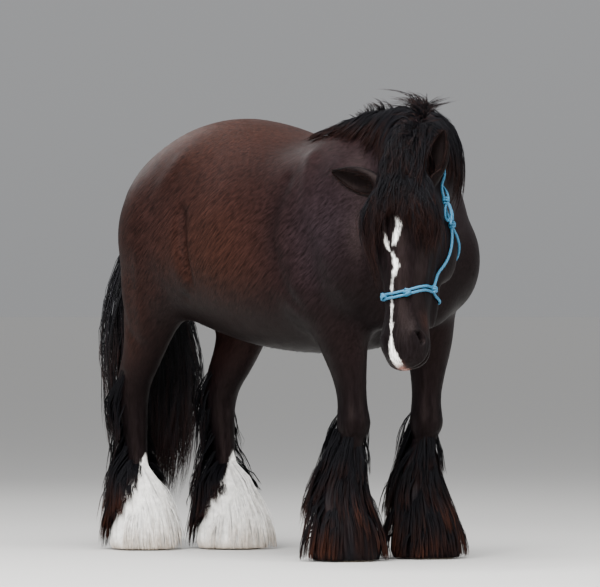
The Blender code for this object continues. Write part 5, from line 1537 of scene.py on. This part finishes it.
def ear(word, side):
    # A leaf rolled round its open front: an outer face, a rim and an inner face.
    base, way, across, opening = earWays(side)
    rows = smoothRows([(0, 0, along, w, f, b) for along, w, f, b in earPlan["rows"]], 0.006)
    along, wide, front, back = rows[:, 2], rows[:, 3] * earPlan["broad"][side], rows[:, 4], rows[:, 5]
    gap = smoothStep(along, 0.000, 0.045)
    half = earPlan["around"] // 2
    share = np.linspace(-1, 1, half)[None]
    angle = share * (math.pi - 0.72 * gap[:, None])
    lean = 0.010 * (along / 0.19) ** 2
    middle = base + way * along[:, None] * earPlan["long"][side] + opening * lean[:, None]

    def sheet(inset):
        w = np.maximum(wide - inset, 0.001)[:, None]
        b = np.maximum(back - inset, 0.001)[:, None]
        f = np.maximum(front - inset * 0.5, 0.001)[:, None]
        x, y = np.sin(angle) * w, -np.cos(angle)
        y = np.where(y < 0, y * b, y * f)
        return middle[:, None] + across * x[..., None] + opening * y[..., None]

    outer, inner = sheet(0.0), sheet(earPlan["thick"])
    rings = np.concatenate([outer, inner[:, ::-1]], axis=1)
    points, quads, tris = tubeShape(rings)
    mesh = meshFrom(f"ear_skin_{word}", points, quads, tris)
    faceOut(mesh)
    count, around = rings.shape[:2]
    isInner = np.append(np.tile(np.arange(around) >= half, count), [False, False])
    edge = np.append(np.tile(np.abs(np.concatenate([share[0], share[0][::-1]])), count), [0, 0])
    tone = lerp(tones["dark"], tones["muzzle"], 0.3 * isInner[:, None]) * 0.7
    tone = lerp(tone, tones["warm"], (smoothStep(edge, 0.90, 1.0) * 0.18)[:, None])
    setTone(mesh, tone)
    setUnwrap(mesh, unwrapPlaces(points, unit(points - base))[cornersOf(mesh)])
    finished(f"ear_skin_{word}", mesh, shortCoat, "coat", f"ear_{word}")
    earHair(word, side, outer, inner)


def earHair(word, side, outer, inner):
    # Short hairs from the rim and from inside the cup, which lean out of its opening.
    _, way, across, opening = earWays(side)
    rim = np.concatenate([
        outer[6:-2, :2].reshape(-1, 3), outer[6:-2, -2:].reshape(-1, 3), inner[6:13, 3:-3:3].reshape(-1, 3)
    ])
    number = earPlan["hairs"]
    roots = rim[dice.integers(0, len(rim), number)] + dice.normal(0, 0.002, (number, 3))
    ways = unit(way * 0.9 + opening * dice.uniform(0.1, 0.7, (number, 1)) + dice.normal(0, 0.2, (number, 3)))
    t = np.linspace(0, 1, 4)[None, :, None]
    lengths = dice.uniform(*earPlan["hairLength"], (number, 1))
    strands = roots[:, None] + ways[:, None] * lengths[:, None] * t
    outs = np.repeat(np.broadcast_to(across, roots.shape)[:, None], 4, axis=1)
    colours = strandTones(strands, "muzzle", "tip", 0.8)
    hairPiece(f"ear_hair_{word}", strands, outs, np.full(number, earPlan["hairWidth"]), colours, "coat")


ear("left", 1)
ear("right", -1)
stageDone("ears")


eyeSet = {
    "white": (0.030, 0.020, 0.016), "iris": (0.016, 0.007, 0.004), "pupil": (0.002, 0.002, 0.003),
    "irisEdge": (0.014, 0.0155), "pupilHalf": (0.0085, 0.0045), "rough": 0.06, "shine": 0.5,
}


def eye(word, side):
    # The ball with its dark iris and level pupil.
    plan = eyeSet
    centre = onHead(np.array(headSet["eye"]) * (1, side, 1))
    outward = unit(headLeft * side * 0.9 + headOut * 0.42)
    wide = unit(headAlong - outward * (headAlong @ outward))
    high = np.cross(outward, wide)
    points, quads, tris = ballShape(centre, (headSet["eyeRadius"],) * 3, (wide, high, outward), 40)
    mesh = meshFrom(f"eyeball_{word}", points, quads, tris)
    faceOut(mesh)
    free = points - centre
    ring = np.sqrt((free @ wide) ** 2 + (free @ high) ** 2)
    front = free @ outward > 0
    tone = np.broadcast_to(plan["white"], points.shape).copy()
    iris = (1 - smoothStep(ring, *plan["irisEdge"])) * front
    tone = lerp(tone, np.array(plan["iris"]), iris[:, None])
    long, tall = plan["pupilHalf"]
    slot = np.sqrt(((free @ wide) / long) ** 2 + ((free @ high) / tall) ** 2)
    pupil = (1 - smoothStep(slot, 0.85, 1.1)) * front
    tone = lerp(tone, np.array(plan["pupil"]), pupil[:, None])
    setTone(mesh, tone)
    finished(f"eyeball_{word}", mesh, eyeMaterial, "eye", f"eye_{word}")


eyeMaterial = hairMaterial("wetEye", eyeSet["rough"], eyeSet["shine"])
eyeMaterial.node_tree.nodes["Principled BSDF"].inputs["Coat Weight"].default_value = 1.0
eye("left", 1)
eye("right", -1)
stageDone("eyes")

hoofSet = {"dark": (0.10, 0.08, 0.06), "pale": (0.22, 0.18, 0.13), "rough": 0.5, "bands": 60.0}


def hoofHorn():
    # Level growth bands from a wave in height.
    made, tree, shader = plainMaterial("horn", hoofSet["dark"], hoofSet["rough"])
    coords = node(tree, "ShaderNodeTexCoord", (-900, 0))
    bands = node(tree, "ShaderNodeTexWave", (-700, 0), Scale=hoofSet["bands"], Distortion=1.5)
    bands.bands_direction = "Z"
    tree.links.new(coords.outputs["Object"], bands.inputs["Vector"])
    twoTone(tree, shader, bands.outputs["Fac"], hoofSet["dark"], hoofSet["pale"])
    for name in legRows:
        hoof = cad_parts[f"hoof_{name}"]
        hoof.data.materials.clear()
        hoof.data.materials.append(made)


hoofHorn()
stageDone("hooves")

ropeSet = {
    "radius": 0.0045, "around": 10, "step": 0.006, "lift": 0.0018, "twist": 420.0, "ridge": 0.10,
    "knot": 0.0085, "wrap": 0.0062, "apart": 0.0068, "knotLift": 0.0095, "tieLift": 0.016,
    # middle and edge: the rope's blue, and the darker blue of painted shade in the weave's grooves
    "middle": (0.036, 0.21, 0.36), "edge": (0.009, 0.09, 0.18),
    "rough": 0.62, "weave": 420.0, "bump": 0.4, "depth": 0.0006,
}
ropeMarks = {
    "noseband": [(0.400, 0.080, -0.110), (0.410, 0.080, -0.060), (0.436, 0.050, 0.000), (0.445, 0.0, 0.02)],
    "cheek": [
        (0.400, 0.080, -0.110), (0.340, 0.086, -0.140), (0.250, 0.100, -0.180), (0.150, 0.110, -0.190),
        (0.070, 0.110, -0.165), (0.040, 0.106, -0.140), (-0.005, 0.104, -0.150), (-0.048, 0.075, -0.125),
        (-0.062, 0.0, -0.085),
    ],
    "chin": [(0.400, 0.080, -0.110), (0.410, 0.062, -0.155), (0.415, 0.030, -0.185), (0.415, 0.0, -0.190)],
    "throat": [(0.150, 0.110, -0.190), (0.200, 0.095, -0.265), (0.245, 0.050, -0.300), (0.255, 0.0, -0.300)],
}
underJaw = [(0.415, 0.0, -0.190), (0.340, 0.0, -0.230), (0.255, 0.0, -0.300)]
knotMarks = [(0.400, 0.080, -0.110), (0.438, 0.044, 0.002), (0.150, 0.110, -0.190), (0.075, 0.110, -0.168)]


def ropeTube(path, radius, around=ropeSet["around"], twist=ropeSet["twist"], ridge=ropeSet["ridge"]):
    # A rope along a path: a round tube whose surface carries the turns of its strands.
    path = np.asarray(path, float)
    ways = unit(np.gradient(path, axis=0))
    side = unit(np.cross(ways[0], (0.3, 0.5, 0.8)))
    sides = []
    for way in ways:
        side = unit(side - way * (side @ way))
        sides.append(side)
    sides = np.array(sides)
    rises = np.cross(ways, sides)
    reach = np.concatenate([[0], np.cumsum(np.linalg.norm(np.diff(path, axis=0), axis=1))])
    turn = np.arange(around) * 2 * math.pi / around
    wave = radius * (1 + ridge * np.sin(3 * turn[None] + reach[:, None] * twist))
    across, over = (np.cos(turn) * wave)[..., None], (np.sin(turn) * wave)[..., None]
    return tubeShape(path[:, None] + sides[:, None] * across + rises[:, None] * over)


def laid(marks):
    # A path on the skin through marks on the head.
    rows = smoothRows([(*spot, 0) for spot in onHead(np.array(marks))], ropeSet["step"])[:, :3]
    spot, normal = nearest(rows)
    path = spot + normal * (ropeSet["radius"] + ropeSet["lift"])
    edges = np.stack([np.arange(len(path) - 1), np.arange(1, len(path))], 1)
    share = np.full(len(path), 0.5)
    share[[0, -1]] = 0
    return relaxed(path, edges, 2, share)


def mirrored(marks):
    # The same marks on the other side of the head.
    return [(along, -left, out) for along, left, out in marks]


def knotShape(centre, normal, way):
    # Three wraps of rope round the crossing, each a ring with its own tilt.
    side = unit(np.cross(normal, way))
    shapes = []
    for n, tilt in enumerate((-0.5, 0.0, 0.5)):
        axis = unit(way + side * tilt)
        a = unit(np.cross(axis, normal))
        b = np.cross(axis, a)
        turn = np.linspace(0, 2 * math.pi, 22)
        around = (np.cos(turn)[:, None] * a + np.sin(turn)[:, None] * b) * ropeSet["knot"]
        ring = centre + axis * (n - 1) * ropeSet["wrap"] + around
        shapes.append(ropeTube(ring, ropeSet["radius"] * 0.92, 8, 300, 0.06))
    return shapes


def halter():
    # Ropes laid on the skin, knots where they cross and the tie on the left cheek.
    shapes = []
    for gap in (-ropeSet["apart"], ropeSet["apart"]):
        marks = [(along + gap, left, out) for along, left, out in ropeMarks["noseband"]]
        shapes.append(ropeTube(laid(marks + mirrored(marks)[-2::-1]), ropeSet["radius"]))
    for word in ("cheek", "chin", "throat"):
        marks = ropeMarks[word]
        shapes.append(ropeTube(laid(marks + mirrored(marks)[-2::-1]), ropeSet["radius"]))
    shapes.append(ropeTube(laid(underJaw), ropeSet["radius"]))
    marks = knotMarks + mirrored(knotMarks) + [ropeMarks["chin"][-1], ropeMarks["throat"][-1]]
    spot, normal = nearest(onHead(np.array(marks)))
    for centre, out in zip(spot + normal * ropeSet["knotLift"], normal):
        shapes += knotShape(centre, out, headAlong if abs(out @ headAlong) < 0.8 else headLeft)
    # the tie on the left cheek: a loop and two loose ends
    tie, out = nearest(onHead(np.array([(0.085, 0.110, -0.170)])))
    tie, out = tie[0] + out[0] * ropeSet["tieLift"], out[0]
    turn = np.linspace(0, 2 * math.pi, 30)
    loop = tie + headAlong * (0.030 - 0.030 * np.cos(turn))[:, None]
    loop = loop + (headLeft * 0.5 - headOut * 0.5) * (0.014 * np.sin(turn))[:, None]
    t = np.linspace(0, 1, 14)[:, None]
    clear = out * 0.006 * np.sin(t * 3)
    ends = [loop, tie - headAlong * 0.075 * t - headLeft * 0.030 * t**1.5 + clear]
    for sway, length in ((0.5, 0.085), (-0.25, 0.060)):
        hang = (headAlong * 0.95 + headLeft * 0.2) * length * t
        ends.append(tie + hang + headOut * sway * 0.03 * t**1.6 + clear)
    shapes += [ropeTube(end, ropeSet["radius"] * 0.9) for end in ends]
    points, quads, tris = gathered(shapes)
    mesh = meshFrom("halter_rope", points, quads, tris)
    faceOut(mesh)
    finished("halter_rope", mesh, ropeWeave(), "rope", "halter")


def ropeWeave():
    # Small cells, deeper at their edges as in a woven sheath, and darker there: painted shade in the grooves.
    made, tree, shader = plainMaterial("ropeWeave", ropeSet["middle"], ropeSet["rough"])
    coords = node(tree, "ShaderNodeTexCoord", (-900, 0))
    weave = node(tree, "ShaderNodeTexVoronoi", (-700, 0), Scale=ropeSet["weave"])
    tree.links.new(coords.outputs["Object"], weave.inputs["Vector"])
    twoTone(tree, shader, weave.outputs["Distance"], ropeSet["middle"], ropeSet["edge"])
    raised(tree, shader, weave.outputs["Distance"], ropeSet["bump"], ropeSet["depth"])
    return made


halter()
stageDone("halter")

# Floor, light and camera
floorSet = {"size": 400.0, "low": (0.60, 0.59, 0.57), "high": (0.64, 0.63, 0.61), "rough": 0.85}
# the sky's strength, from level to some way up
worldSet = {"colour": (0.90, 0.91, 0.93), "height": (0.0, 0.45), "strength": (0.37, 0.60)}
lampRows = [
    # name, place, size, watts
    ("top", (-1.4, -1.4, 4.8), 4.0, 520), ("key", (-5.5, -3.5, 3.6), 3.2, 520),
    ("fill", (3.0, -6.5, 2.6), 3.2, 260), ("back", (1.0, 6.0, 4.0), 3.0, 70),
]
# the photo's own frame is 600 wide, in which a metre at the fore feet is 300
cameraSet = {
    "azimuth": math.radians(38), "scale": 300.0, "distance": 20.0, "height": 0.9, "width": 600,
    "shift": (6.6, -3.5), "feet": (0, -0.5, 0.0), "sensor": 36,
}


def plainFloor():
    half = floorSet["size"] / 2
    corners = np.array([(-half, -half, 0), (half, -half, 0), (half, half, 0), (-half, half, 0)], float)
    mesh = meshFrom("floor", corners, np.array([(0, 1, 2, 3)]), np.zeros((0, 3), int))
    made, tree, shader = plainMaterial("floorPaint", floorSet["low"], floorSet["rough"])
    noise = node(tree, "ShaderNodeTexNoise", (-700, 0), Scale=1.5, Detail=2.0)
    twoTone(tree, shader, noise.outputs["Fac"], floorSet["low"], floorSet["high"])
    mesh.materials.append(made)
    floor = objectFrom("floor", mesh)


def paleSky():
    # Even light whose strength grows with the height above the level.
    world = bpy.context.scene.world or bpy.data.worlds.new("studio")
    bpy.context.scene.world = world
    world.use_nodes = True
    tree = world.node_tree
    tree.nodes["Background"].inputs["Color"].default_value = (*worldSet["colour"], 1)
    coords = node(tree, "ShaderNodeTexCoord", (-800, 0))
    height = node(tree, "ShaderNodeSeparateXYZ", (-600, 0))
    tree.links.new(coords.outputs["Generated"], height.inputs["Vector"])
    fade = spanned(tree, height.outputs["Z"], (-400, 0), worldSet["strength"], worldSet["height"])
    tree.links.new(fade, tree.nodes["Background"].inputs["Strength"])


def softLamps():
    # Round lamps that look at the middle of the horse.
    for name, where, size, watts in lampRows:
        lamp = bpy.data.lights.new(name, "AREA")
        lamp.shape = "DISK"
        lamp.size = size
        lamp.energy = watts
        thing = bpy.data.objects.new(name, lamp)
        thing.location = where
        toward = Vector((0, 0, cameraSet["height"])) - Vector(where)
        thing.rotation_euler = toward.to_track_quat("-Z", "Y").to_euler()
        bpy.context.scene.collection.objects.link(thing)


def photoCamera():
    # The photograph's place: level, 0.9 m up, 20 m from the fore feet, 38 degrees to the right.
    plan = cameraSet
    toward = np.array([-math.sin(plan["azimuth"]), -math.cos(plan["azimuth"]), 0.0])
    reach = plan["distance"] + plan["feet"] @ toward
    lens = bpy.data.cameras.new("photo")
    camera = bpy.data.objects.new("photo", lens)
    bpy.context.scene.collection.objects.link(camera)
    camera.location = Vector(toward * reach + moved + upward * plan["height"])
    camera.rotation_euler = Vector(-toward).to_track_quat("-Z", "Y").to_euler()
    lens.sensor_width = plan["sensor"]
    lens.sensor_fit = "HORIZONTAL"
    lens.lens = plan["scale"] * plan["distance"] / plan["width"] * plan["sensor"]
    lens.shift_x, lens.shift_y = (value / plan["width"] for value in plan["shift"])
    lens.clip_end = 200
    bpy.context.scene.camera = camera


plainFloor()
paleSky()
softLamps()
photoCamera()
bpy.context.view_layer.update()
stageDone("studio")
